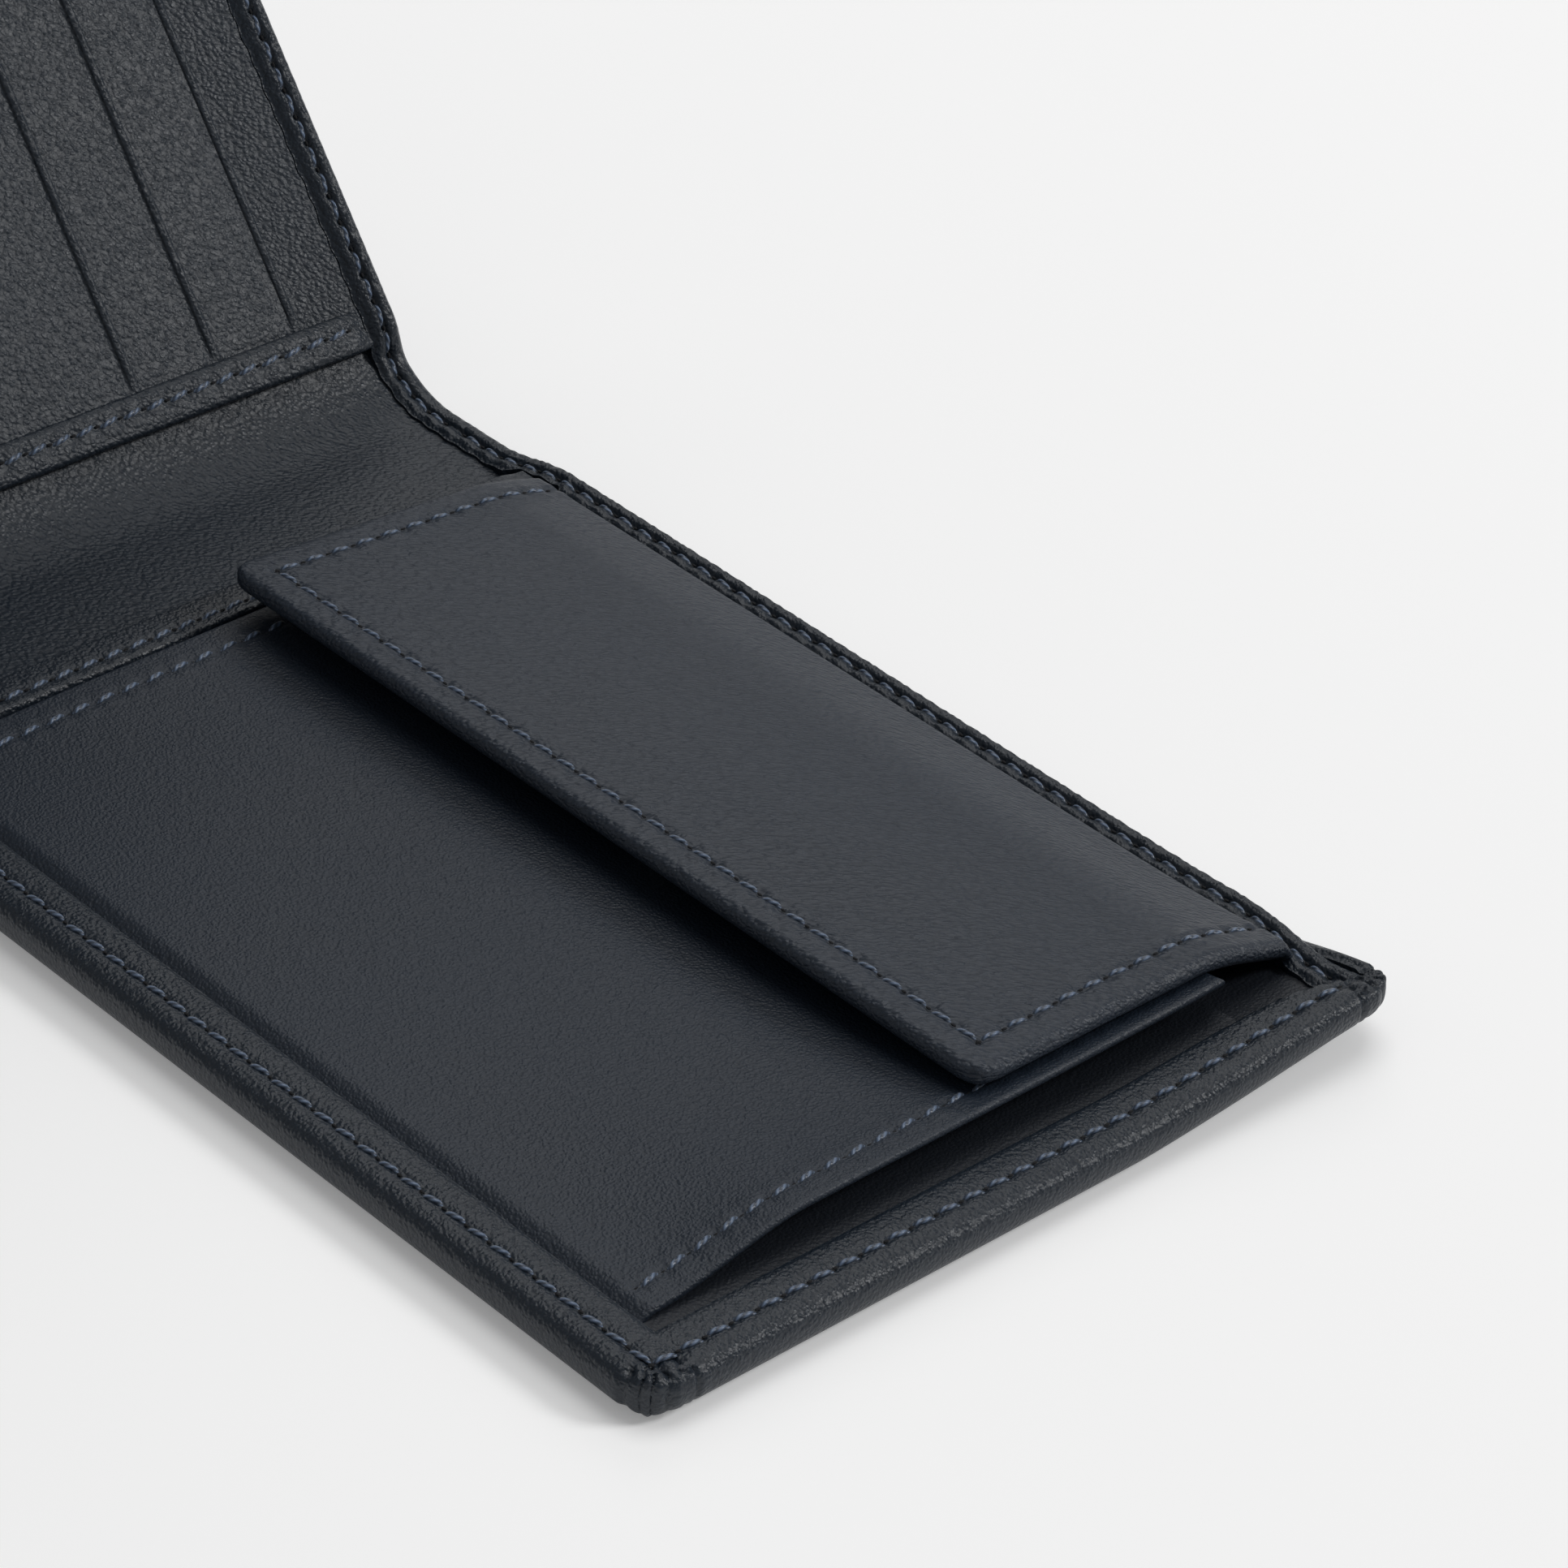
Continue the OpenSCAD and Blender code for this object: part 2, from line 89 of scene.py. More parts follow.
# %% Sizes, from the frame where it has them
MM = 0.001
joints = {j["name"]: j for j in frame["joints"]}
shell_low, shell_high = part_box("coin_leaf_shell")
flap_low, flap_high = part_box("coin_flap_leather")
front_low, front_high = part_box("coin_pocket_front")
LEAF_H = (shell_high.y - shell_low.y) / MM
COIN_W = (shell_high.x - shell_low.x) / MM
COIN_T = (shell_high.z - shell_low.z) / MM
SPINE_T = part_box("spine_shell")[1].z / MM
CARD_T = 4.2
WING_T = 3.6
HIDE_T = 0.8
BORDER_W = 6.6
HEM_W = 4.0
CORNER_R = 5.0
SEAM_INSET = 3.2
HEM_SEAM_INSET = 2.15
PITCH = 3.06
AXIS_N = SPINE_T / 2
WING_SHORTER = 16
FAR = 1e3


def leaf_x(x):
    """A world x, in metres, as millimetres from the coin leaf's crease"""
    return (x - shell_low.x) / MM


def leaf_y(y):
    """A world y, in metres, as millimetres from the lower edge"""
    return (y - shell_low.y) / MM


FOLD_NAMES = ("spine_fold_coin_side", "spine_fold_card_side", "wing_fold_card_side", "wing_fold_wing_side")
fold_points = [np.array(joints[name]["pos_m"]) for name in FOLD_NAMES]
fold_gaps = [np.linalg.norm(b - a) / MM for a, b in zip(fold_points, fold_points[1:])]
FOLD_S = np.concatenate([[0.0], np.cumsum(fold_gaps)])
COIN_FOLD_X = leaf_x(fold_points[0][0])
lift = -joints["spine_fold_card_side"]["range_deg"][0]
bend = -joints["wing_fold_card_side"]["range_deg"][0]
WING_END = FOLD_S[3] + COIN_W - WING_SHORTER
OUTER_END = COIN_FOLD_X - COIN_W
print(f"leaf {COIN_W:.1f} x {LEAF_H:.1f} mm, folds at {np.round(FOLD_S, 1)} mm along the leather")

# %% [markdown]
# ## From flat leather to the folded wallet
#
# `along` walks the strip: it goes straight between folds and turns on a small arc at each fold, so
# the leather bends as leather does, and a few millimetres from a fold it is exactly where the CAD
# leaf is. `place` turns flat sizes into a place in the room. The coin leaf's top outer corner curls
# up off the table a little, as it does on a wallet that has been handled.

# %% Folding
SPINE_REACH = 6.5
WING_REACH = 3.2
BENDS = [
    (FOLD_S[1], fold_points[1], 0.0, lift, SPINE_REACH),
    (FOLD_S[2], fold_points[2], lift, lift + bend, WING_REACH),
    (FOLD_S[3], fold_points[3], lift + bend, lift + 2 * bend, WING_REACH),
]
CURL_LIFT = 3.7
CURL_X = 85.0
CURL_Y = 60.0


def along(s, n):
    """Leaf x and z of points s along the leather from the coin fold, n above its outer face"""
    s, n = np.broadcast_arrays(np.asarray(s, float), np.asarray(n, float))
    x = COIN_FOLD_X - s
    z = n.copy()
    for fold_s, point, before, after, reach in BENDS:
        a0, a1 = math.radians(before), math.radians(after)
        px, pz = leaf_x(point[0]), point[2] / MM
        past = s >= fold_s - reach
        t = np.clip((s - fold_s + reach) / (2 * reach), 0, 1)
        angle = a0 + (a1 - a0) * t
        radius = reach / math.tan((a1 - a0) / 2)
        cx = px + reach * math.cos(a0) + radius * math.sin(a0)
        cz = pz - reach * math.sin(a0) + radius * math.cos(a0)
        beyond = np.maximum(s - fold_s - reach, 0)
        rise = n - AXIS_N - radius
        x = np.where(past, cx + rise * np.sin(angle) - beyond * math.cos(a1), x)
        z = np.where(past, cz + rise * np.cos(angle) + beyond * math.sin(a1), z)
    return x, z


def curl(x, y):
    """How far the coin leaf's top outer corner lifts off the table"""
    u = np.clip((x - CURL_X) / (COIN_W - CURL_X), 0, 1.1)
    v = np.clip((y - CURL_Y) / (LEAF_H - CURL_Y), 0, 1.1)
    return CURL_LIFT * u**3 * v**1.3


def place(s, y, n):
    """World points, in metres, of places on the flat leather"""
    x, z = along(s, n)
    s, y, x, z = np.broadcast_arrays(s, np.asarray(y, float), x, z)
    z = z + curl(x, y)
    return np.stack([x * MM + shell_low.x, y * MM + shell_low.y, z * MM], axis=-1)


def coin_s(x):
    """Distance along the leather of a place x on the coin leaf"""
    return COIN_FOLD_X - np.asarray(x, float)


def card_s(u):
    """Distance along the leather of a place u up the card leaf, from its fold"""
    return FOLD_S[1] + np.asarray(u, float)


def wing_s(v):
    """Distance along the leather of a place v up the wing, from its fold"""
    return FOLD_S[3] + np.asarray(v, float)


def smooth(value, low, high):
    """0 below low, 1 above high, and an even curve between"""
    t = np.clip((np.asarray(value, float) - low) / (high - low), 0, 1)
    return t * t * (3 - 2 * t)


# %% [markdown]
# ## Making a piece of leather
#
# A leather piece is two grids, one for each face. Both are primitives, laid over the leaf, joined
# and merged along their edge, so the piece is closed and has a rolled rim. Grid lines are closer
# together in the rolled edges, where the shape turns quickly.

# %% Grids and closed pieces
ROLL_STEPS = 5
MERGE_DISTANCE = 2e-6
CREASE_ANGLE = math.radians(50)


def deselect():
    """Leaves nothing selected, because an operator acts on all that is"""
    bpy.ops.object.select_all(action="DESELECT")


def active(obj):
    """Selects one object and makes it the active one"""
    deselect()
    obj.select_set(True)
    bpy.context.view_layer.objects.active = obj


def grid(name, points):
    """A grid primitive whose vertices are laid on a table of points"""
    rows, columns = points.shape[:2]
    deselect()
    bpy.ops.mesh.primitive_grid_add(x_subdivisions=columns - 1, y_subdivisions=rows - 1, size=1,
                                    location=(0, 0, 0))
    obj = bpy.context.object
    obj.name = name
    flat = np.array([v.co[:2] for v in obj.data.vertices])
    column = np.rint((flat[:, 0] + 0.5) * (columns - 1)).astype(int)
    row = np.rint((flat[:, 1] + 0.5) * (rows - 1)).astype(int)
    obj.data.vertices.foreach_set("co", points[row, column].astype(np.float32).ravel())
    obj.data.update()
    return obj


def finish_mesh(obj, material):
    """Merges the seams, turns the faces outwards, smooths them and gives the piece its material"""
    active(obj)
    bpy.ops.object.mode_set(mode="EDIT")
    bpy.ops.mesh.select_all(action="SELECT")
    bpy.ops.mesh.remove_doubles(threshold=MERGE_DISTANCE)
    bpy.ops.mesh.normals_make_consistent(inside=False)
    bpy.ops.object.mode_set(mode="OBJECT")
    bpy.ops.object.shade_smooth_by_angle(angle=CREASE_ANGLE)
    obj.data.materials.clear()
    obj.data.materials.append(material)
    return obj


def join(name, objs):
    """Joins several objects into the first, and names it"""
    active(objs[0])
    for o in objs[1:]:
        o.select_set(True)
    bpy.ops.object.join()
    objs[0].name = name
    objs[0].data.name = name
    return objs[0]


def closed_piece(name, s, y, top, bottom, material, shut=False):
    """A closed piece from two faces over the same grid, which also meet where shut is true"""
    middle = (top + bottom) / 2
    top = np.where(shut, middle, top)
    bottom = np.where(shut, middle, bottom)
    upper = grid(name, place(s, y, top))
    lower = grid(name + "_lower", place(s, y, bottom))
    piece = finish_mesh(join(name, [upper, lower]), material)
    print(f"{name}: {len(piece.data.polygons)} faces")
    return piece


def span(low, high, cell, roll, cuts=(False, False), extra=()):
    """Grid lines from low to high and each one's depth from the rim. A cut end has no rolled rim"""
    turn = np.arange(ROLL_STEPS) / ROLL_STEPS * math.pi / 2
    edge = roll * (1 - np.cos(turn))
    first, last = (0.0 if cut else roll for cut in cuts)
    count = max(2, round((high - low - first - last) / cell))
    middle = np.linspace(low + first, high - last, count + 1)
    start = [low] if cuts[0] else low + edge
    end = [high] if cuts[1] else (high - edge)[::-1]
    where = np.unique(np.round(np.concatenate([start, middle, end, np.array(extra, float)]), 5))
    where = np.concatenate([[low] * cuts[0], where, [high] * cuts[1]])
    from_low = np.full(len(where), FAR) if cuts[0] else where - low
    from_high = np.full(len(where), FAR) if cuts[1] else high - where
    depth = np.minimum(from_low, from_high)
    depth[[0, -1]] = 0
    return where, depth


def rolled(depth, roll, square=2.0):
    """Share of the full half thickness at a depth from a rolled edge. A higher square is boxier"""
    return np.clip(1 - (1 - np.clip(depth / roll, 0, 1)) ** square, 0, 1) ** (1 / square)


def round_corner(a, b, corner_a, corner_b, radius):
    """Pulls the grid's square corner at (corner_a, corner_b) onto an arc"""
    middle_a, middle_b = np.median(a), np.median(b)
    sign_a = 1 if corner_a > middle_a else -1
    sign_b = 1 if corner_b > middle_b else -1
    centre_a, centre_b = corner_a - sign_a * radius, corner_b - sign_b * radius
    p = np.clip((a - centre_a) * sign_a / radius, 0, 1)
    q = np.clip((b - centre_b) * sign_b / radius, 0, 1)
    inside = (p > 0) & (q > 0)
    new_a = centre_a + sign_a * radius * p * np.sqrt(1 - q * q / 2)
    new_b = centre_b + sign_b * radius * q * np.sqrt(1 - p * p / 2)
    return np.where(inside, new_a, a), np.where(inside, new_b, b)


def panel(name, s_range, y_range, top, thick, material, cell=1.5, roll=None, cuts=(False, False),
          corners=(), radius=CORNER_R, extra_y=()):
    """A flat leather piece with rolled edges. top is its upper face's height, or a function for it"""
    roll = thick / 2 if roll is None else roll
    s_lines, s_depth = span(*sorted(s_range), cell, roll, cuts)
    y_lines, y_depth = span(*y_range, cell, roll, extra=extra_y)
    s, y = np.meshgrid(s_lines, y_lines)
    depth = np.minimum(s_depth[None, :], y_depth[:, None])
    for corner_s, corner_y in corners:
        s, y = round_corner(s, y, corner_s, corner_y, radius)
    height = top(s, y) if callable(top) else np.full(s.shape, float(top))
    half = thick / 2 * rolled(depth, roll)
    return closed_piece(name, s, y, height - thick / 2 + half, height - thick / 2 - half, material)


# %% [markdown]
# ## Shader maths
#
# The finishes are procedural. `Value` wraps a socket so that a formula can be written as one, and
# `add` makes any other node in one call: its type, its settings and the values or links of its
# sockets.

# %% Shader helpers
MATH_PAIRS = {"__add__": "ADD", "__sub__": "SUBTRACT", "__mul__": "MULTIPLY", "__truediv__": "DIVIDE",
              "__pow__": "POWER"}


class Value:
    """A socket that takes part in Python arithmetic by adding Math nodes"""

    def __init__(self, shader, socket):
        self.shader = shader
        self.socket = socket

    def math(self, operation, *values):
        """One Math node on these values"""
        return self.shader.add("ShaderNodeMath", {"operation": operation}, *values)

    def clip(self, low, high):
        """This value, kept between low and high"""
        return self.math("MINIMUM", self.math("MAXIMUM", self, low), high)


for method, operation in MATH_PAIRS.items():
    setattr(Value, method, lambda a, b, op=operation: a.math(op, a, b))
    setattr(Value, method.replace("__", "__r", 1), lambda a, b, op=operation: a.math(op, b, a))


class Shader:
    """A new material and the nodes in it"""

    def __init__(self, name):
        self.material = bpy.data.materials.new(name)
        self.material.use_nodes = True
        self.tree = self.material.node_tree
        self.surface = self.tree.nodes["Principled BSDF"]

    def add(self, kind, settings=None, *values, output=0, **named):
        """Adds a node, sets it up, and returns one of its outputs"""
        node = self.tree.nodes.new(kind)
        for key, value in (settings or {}).items():
            setattr(node, key, value)
        for key, value in [*enumerate(values), *named.items()]:
            self.feed(node.inputs[key.replace("_", " ") if isinstance(key, str) else key], value)
        return Value(self, node.outputs[output])

    def feed(self, socket, value):
        """Links or sets one input"""
        if isinstance(value, Value):
            self.tree.links.new(value.socket, socket)
        else:
            socket.default_value = value

    def set(self, **values):
        """Feeds the surface's own sockets"""
        for key, value in values.items():
            self.feed(self.surface.inputs[key.replace("_", " ")], value)

    def coordinates(self, output="Object"):
        """The piece's own coordinates"""
        return self.add("ShaderNodeTexCoord", output=output)

    def noise(self, where, scale, detail=2.0, roughness=0.5, output=0):
        """A noise of that many waves to a metre"""
        return self.add("ShaderNodeTexNoise", Vector=where, Scale=scale, Detail=detail,
                        Roughness=roughness, output=output)

    def mix_colour(self, share, a, b):
        """A colour between a and b"""
        node = self.tree.nodes.new("ShaderNodeMix")
        node.data_type = "RGBA"
        for socket, value in ((0, share), (6, a), (7, b)):
            self.feed(node.inputs[socket], value)
        return Value(self, node.outputs[2])

    def bump(self, height, depth_mm):
        """A Bump node on this height"""
        return self.add("ShaderNodeBump", Height=height, Distance=depth_mm * MM)


def shades(colour, low, high=1.0):
    """A darker and a lighter shade of a colour"""
    return [[c * share for c in colour] + [1.0] for share in (low, high)]


# %% [markdown]
# ## Finishes
#
# Navy calf is dyed through and lightly glazed. Under a lens its grain is a net of small pebbles, each
# about 0.4 mm across, with fine creases between them. Where the hide is stretched over a
# board the pebbles are flat, and on thin card leather they stand up. A warp of low noise keeps the
# cells from looking like a honeycomb. The colour is a little darker between the pebbles: painted shade
# in the creases.

# %% Leather, lining, board, thread and steel
def leather(name, colour, pebble_mm, depth_mm, roughness, wrinkle=0.35, stretch=(1.0, 1.0, 1.0)):
    """Grained leather. pebble_mm is the grain's size and depth_mm how deep its creases are"""
    sh = Shader(name)
    where = sh.add("ShaderNodeMapping", {"vector_type": "TEXTURE"}, Vector=sh.coordinates(), Scale=stretch,
                   Rotation=(0.0, 0.0, math.radians(45)))
    wander = sh.noise(where, 900.0, 2.0, 0.6, output=1)
    offset = sh.add("ShaderNodeVectorMath", {"operation": "SCALE"}, wander, Scale=0.0006)
    warped = sh.add("ShaderNodeVectorMath", {"operation": "ADD"}, where, offset)
    cells = sh.add("ShaderNodeTexVoronoi", {"feature": "SMOOTH_F1"}, Vector=warped,
                   Scale=1000.0 / pebble_mm, Smoothness=0.35)
    fine = sh.noise(warped, 3400.0, 3.0, 0.6)
    folds = sh.noise(where, 420.0, 3.0, 0.55)
    broad = sh.noise(sh.coordinates(), 28.0, 3.0, 0.5)
    pebbles = 1.0 - cells
    height = pebbles * 0.75 + fine * 0.35 + folds * wrinkle
    # shade runs from the pebble tops down to the creases between them, and it darkens the colour in the
    # creases as painted shade
    shade = (pebbles * 0.7 + fine * 0.3).clip(0.0, 1.0)
    tone = (shade * 0.7 + broad * 0.6 - 0.1).clip(0.0, 1.0)
    sh.set(Base_Color=sh.mix_colour(tone, *shades(colour, 0.62, 1.22)),
           Roughness=(roughness + (0.5 - shade) * 0.16 + (broad - 0.5) * 0.10).clip(0.2, 0.9),
           Normal=sh.bump(height, depth_mm), IOR=1.5, Specular_IOR_Level=0.42)
    return sh.material


def woven(name, colour, thread_mm, roughness):
    """A fine plain weave, from two crossed waves"""
    sh = Shader(name)
    waves = []
    for direction in ("X", "Y"):
        waves.append(sh.add("ShaderNodeTexWave", {"bands_direction": direction}, Vector=sh.coordinates(),
                            Scale=1000.0 / thread_mm / 20, Distortion=0.4, output=1))
    height = waves[0] * 0.5 + waves[1] * 0.5
    sh.set(Base_Color=sh.mix_colour(height, *shades(colour, 0.6)), Roughness=roughness,
           Normal=sh.bump(height, 0.05))
    return sh.material


def pressed_board(name, colour):
    """Bonded leather board: ground leather fibre, pressed flat"""
    sh = Shader(name)
    fibre = sh.noise(sh.coordinates(), 1500.0, 5.0, 0.7)
    sh.set(Base_Color=sh.mix_colour(fibre, *shades(colour, 0.6)), Roughness=0.85,
           Normal=sh.bump(fibre, 0.05))
    return sh.material


def twisted_thread(name, colour):
    """Two plies twisted together, drawn along the stitch's own map"""
    sh = Shader(name)
    uv = sh.coordinates("UV")
    around, length = (sh.add("ShaderNodeSeparateXYZ", {}, uv, output=axis) for axis in (0, 1))
    turns = (around * 2.0 + length * 3.5) * (2 * math.pi)
    ply = turns.math("SINE", turns) * 0.5 + 0.5
    fuzz = sh.noise(sh.coordinates(), 5000.0, 2.0, 0.6)
    sh.set(Base_Color=sh.mix_colour((ply * 0.8 + fuzz * 0.2).clip(0, 1), *shades(colour, 0.25, 1.5)),
           Normal=sh.bump(ply + fuzz * 0.3, 0.07),
           Roughness=0.34, Sheen_Weight=0.25, Sheen_Roughness=0.4)
    return sh.material


def satin_steel(name, colour):
    """Nickel-plated steel with a fine turned finish"""
    sh = Shader(name)
    turned = sh.noise(sh.coordinates(), 2600.0, 3.0, 0.6)
    sh.set(Metallic=1.0, Base_Color=[*colour, 1.0], Roughness=0.24 + turned * 0.16,
           Normal=sh.bump(turned, 0.006))
    return sh.material


def dark_hole(name):
    """The shadow and waxed fibre inside a needle hole"""
    sh = Shader(name)
    specks = sh.noise(sh.coordinates(), 4000.0, 2.0, 0.5)
    sh.set(Base_Color=sh.mix_colour(specks, [0.001, 0.001, 0.002, 1], [0.004, 0.005, 0.008, 1]),
           Roughness=0.9, Normal=sh.bump(specks, 0.02))
    return sh.material


outer_calf = leather("outer_calf", (0.009, 0.015, 0.024), 0.42, 0.14, 0.38)
smooth_calf = leather("smooth_calf", (0.019, 0.027, 0.041), 0.34, 0.20, 0.45, wrinkle=0.4,
                      stretch=(2.4, 1.0, 1.0))
front_calf = leather("front_calf", (0.011, 0.018, 0.030), 0.34, 0.10, 0.47)
card_calf = leather("card_calf", (0.0125, 0.0190, 0.0285), 0.43, 0.17, 0.41, wrinkle=0.25,
                    stretch=(1.4, 1.0, 1.0))
gusset_calf = leather("gusset_calf", (0.009, 0.012, 0.018), 0.36, 0.09, 0.55)
lining_cloth = woven("lining_cloth", (0.045, 0.055, 0.075), 0.3, 0.8)
leather_board = pressed_board("leather_board", (0.30, 0.24, 0.17))
navy_thread = twisted_thread("navy_thread", (0.088, 0.122, 0.185))
snap_steel = satin_steel("snap_steel", (0.62, 0.63, 0.65))
needle_hole = dark_hole("needle_hole")
print("materials:", len(bpy.data.materials))

# %% [markdown]
# ## How a seam marks the leather
#
# A lock stitch pulls the leather down along its line, most of all at the needle holes, and the
# leather between two holes puffs up beside the thread. `seam_dent` gives that height for a distance
# across the seam and a distance along it from the first hole.

# %% Seam dents and corner pleats
HOLE_REACH = 0.55
GROOVE_REACH = 0.45
RIDGE_AT = 0.95
RIDGE_REACH = 0.6


def bell(distance, reach):
    """1 in the middle, falling away on both sides"""
    return np.exp(-((distance / reach) ** 2))


def seam_dent(across, travel, pitch=PITCH, depth=0.20, puff=0.10):
    """Height change of leather beside a seam"""
    at_hole = bell(np.abs((travel / pitch + 0.5) % 1.0 - 0.5) * pitch, HOLE_REACH)
    groove = -depth * bell(across, GROOVE_REACH) * (0.45 + 1.1 * at_hole)
    ridge = puff * bell(np.abs(across) - RIDGE_AT, RIDGE_REACH) * (1 - 1.5 * at_hole)
    return groove + ridge


def pleats(outwards, y, corner_y, count=6, low=-10, high=74):
    """The gathers of a turned corner: 1 in each sharp crease, falling to 0 on the rounds between.
    outwards is the distance past the end of the leaf; low and high are the fan's limits in degrees"""
    sign_y = 1 if corner_y > LEAF_H / 2 else -1
    dx = outwards + CORNER_R
    dy = (y - (corner_y - sign_y * CORNER_R)) * sign_y
    angle = np.degrees(np.arctan2(dy, dx))
    reach = np.hypot(dx, dy)
    wander = 4.0 * np.sin(angle * 0.11 + 1) + 3.0 * np.sin(reach * 1.9)
    turns = np.clip((angle + wander - low) / (high - low), 0, 1) * (count - 1)
    crease = 1 - np.abs(np.sin(np.pi * turns)) ** 0.45
    outside = smooth(angle, low - 8, low) * (1 - smooth(angle, high, high + 8))
    return crease * outside * smooth(reach, 0.3, 1.2)


# %% [markdown]
# ## The outer hide
#
# The outer leather is cut larger than the leaf and turned in over its edges: a plate under each leaf
# and a raised, sewn border on the sides that are closed. A border and its plate are one skin with a
# round nose between them, so they are modelled as one tray. The strip is made in four lengths, cut in
# the stiff middle of a leaf or spine where no bend shows it, because a piece can bend over only one
# fold.

# %% Heights along the strip
NOSE = 2.2
NOSE_SQUARE = 2.6
LIP_DROP = 0.25
END_DROP = 1.0
CORNER_RISE = 1.9
PLEAT_REACH = 9
PLEAT_DEPTH = 0.55
PLEAT_PULL = 0.06
SPINE_BAND = (-5, 5)
CARD_BAND = (FOLD_S[1] + 3, FOLD_S[1] + 9)
WING_FOLD_BAND = (FOLD_S[2] - 7, FOLD_S[2] - 1)
WING_BAND = (FOLD_S[3] + 1, FOLD_S[3] + 6)
OPEN_END_Y = 84
BORDER_LINES = np.array([2.6, 2.9, 3.05, 3.2, 3.35, 3.5, 3.8, 4.3, 4.9, 5.5, 6.0, 6.3, 6.45, 6.55,
                         6.6, 6.66, 7.0])


def between(s, levels):
    """A height that changes from one level to the next around each listed place"""
    height = np.full(np.shape(s), levels[0], float)
    for start, end, level in levels[1:]:
        height = height + (level - height) * smooth(s, start, end)
    return height


def border_height(s):
    """Top of the turned border at the lower edge"""
    return between(s, [COIN_T, (*SPINE_BAND, SPINE_T), (*CARD_BAND, CARD_T), (*WING_FOLD_BAND, SPINE_T),
                       (*WING_BAND, WING_T)])


def corner_share(s):
    """0 along the top edge, rising to 1 where the coin leaf's note pocket opens at its outer corner"""
    return smooth(COIN_FOLD_X - s, 102, 118)


def far_height(s):
    """Thickness of the hide at the top edge, which is open for notes on the coin and card leaves"""
    open_edge = between(s, [1.5, (*SPINE_BAND, HIDE_T), (*CARD_BAND, 1.3), (*WING_FOLD_BAND, SPINE_T),
                            (*WING_BAND, WING_T)])
    return CORNER_RISE * corner_share(s) + open_edge


def hide_lines(low, high, edge_low, edge_high, cell):
    """Grid lines of a tray, with the border's own lines at each side that has a border"""
    turn = np.arange(1, 9) / 9 * math.pi / 2
    fine = np.arange(0, NOSE, 0.2)
    edge = np.concatenate([np.unique(np.round([*NOSE * (1 - np.cos(turn)), *fine], 4)), [NOSE], BORDER_LINES])
    start = low + edge if edge_low else np.array([low, low])
    end = (high - edge)[::-1] if edge_high else np.array([high, high])
    count = max(1, round((end[0] - start[-1]) / cell))
    middle = np.linspace(start[-1], end[0], count + 1)[1:-1]
    return np.concatenate([start, middle, end])


def outer_end_top(y):
    """Top of the border along the coin leaf's outer edge, lower where the note pocket opens"""
    return COIN_T - END_DROP * smooth(y, OPEN_END_Y, LEAF_H)


def hide(name, s_low, s_high, edge_low, edge_high, cell, closed_top):
    """One length of the outer hide: plate, noses and borders"""
    s_lines = hide_lines(s_low, s_high, edge_low, edge_high, PITCH / 3)
    y_lines = hide_lines(0, LEAF_H, True, True, cell)
    s, y = np.meshgrid(s_lines, y_lines)
    to_low = s - s_low if edge_low else np.full(s.shape, FAR)
    to_high = s_high - s if edge_high else np.full(s.shape, FAR)
    to_end = np.minimum(to_low, to_high)
    sides = [(y, border_height(s), np.full(s.shape, BORDER_W)),
             (LEAF_H - y, far_height(s), BORDER_W if closed_top else HEM_W - 2.5 * corner_share(s))]
    end_drop = 0.0 if closed_top else END_DROP * smooth(y, OPEN_END_Y, LEAF_H)
    sides.append((to_end, border_height(s) - end_drop, np.full(s.shape, BORDER_W)))
    weight = [1 / (distance + 0.3) ** 4 for distance, _, _ in sides]
    height = sum(w * h for w, (_, h, _) in zip(weight, sides)) / sum(weight)
    width = sum(w * edge for w, (_, _, edge) in zip(weight, sides)) / sum(weight)
    depth = np.minimum(np.minimum(y, LEAF_H - y), to_end)
    radius = height / 2
    top = radius + radius * rolled(depth, np.minimum(radius, NOSE), NOSE_SQUARE)
    bottom = radius - radius * rolled(depth, np.minimum(radius, NOSE))
    on_border = 1 - smooth(depth, width - 0.05, width + 0.03)
    lip = LIP_DROP * smooth(depth, width - 0.7, width)
    end_side = to_end < np.minimum(y, LEAF_H - y)
    travel = np.where(end_side, y, s - (s_high if edge_high else s_low)) - SEAM_INSET
    sewn = (y < LEAF_H / 2) | end_side | closed_top
    top = top + seam_dent(depth - SEAM_INSET, travel) * sewn * smooth(height, 2.0, 2.3) - lip
    top = np.where(depth > NOSE, HIDE_T + (top - HIDE_T) * on_border, top)
    ends = [s_low] * edge_low + [s_high] * edge_high
    corners = [(end, corner_y) for end in ends for corner_y in (0.0, LEAF_H)]
    square_s = s
    for cs, cy in corners:
        s, y = round_corner(s, y, cs, cy, CORNER_R)
    for cs, cy in corners:
        outwards = cs - s if cs == s_low else s - cs
        gather = pleats(outwards, y, cy) * (np.abs(square_s - cs) < PLEAT_REACH)
        top = top - PLEAT_DEPTH * gather * smooth(depth, 0.1, 1.2) * (1 - smooth(depth, 4.6, 6.2))
        shrink = 1 - PLEAT_PULL * gather * (1 - smooth(depth, 0.8, 3.0)) * (top > radius * 0.6)
        inner_s, inner_y = cs + (CORNER_R if cs == s_low else -CORNER_R), abs(cy - CORNER_R)
        s, y = inner_s + (s - inner_s) * shrink, inner_y + (y - inner_y) * shrink
    flat_end = np.zeros(s.shape, bool)
    flat_end[:, 0] = not edge_low
    flat_end[:, -1] = not edge_high
    return closed_piece(name, s, y, top, bottom, outer_calf, shut=flat_end)


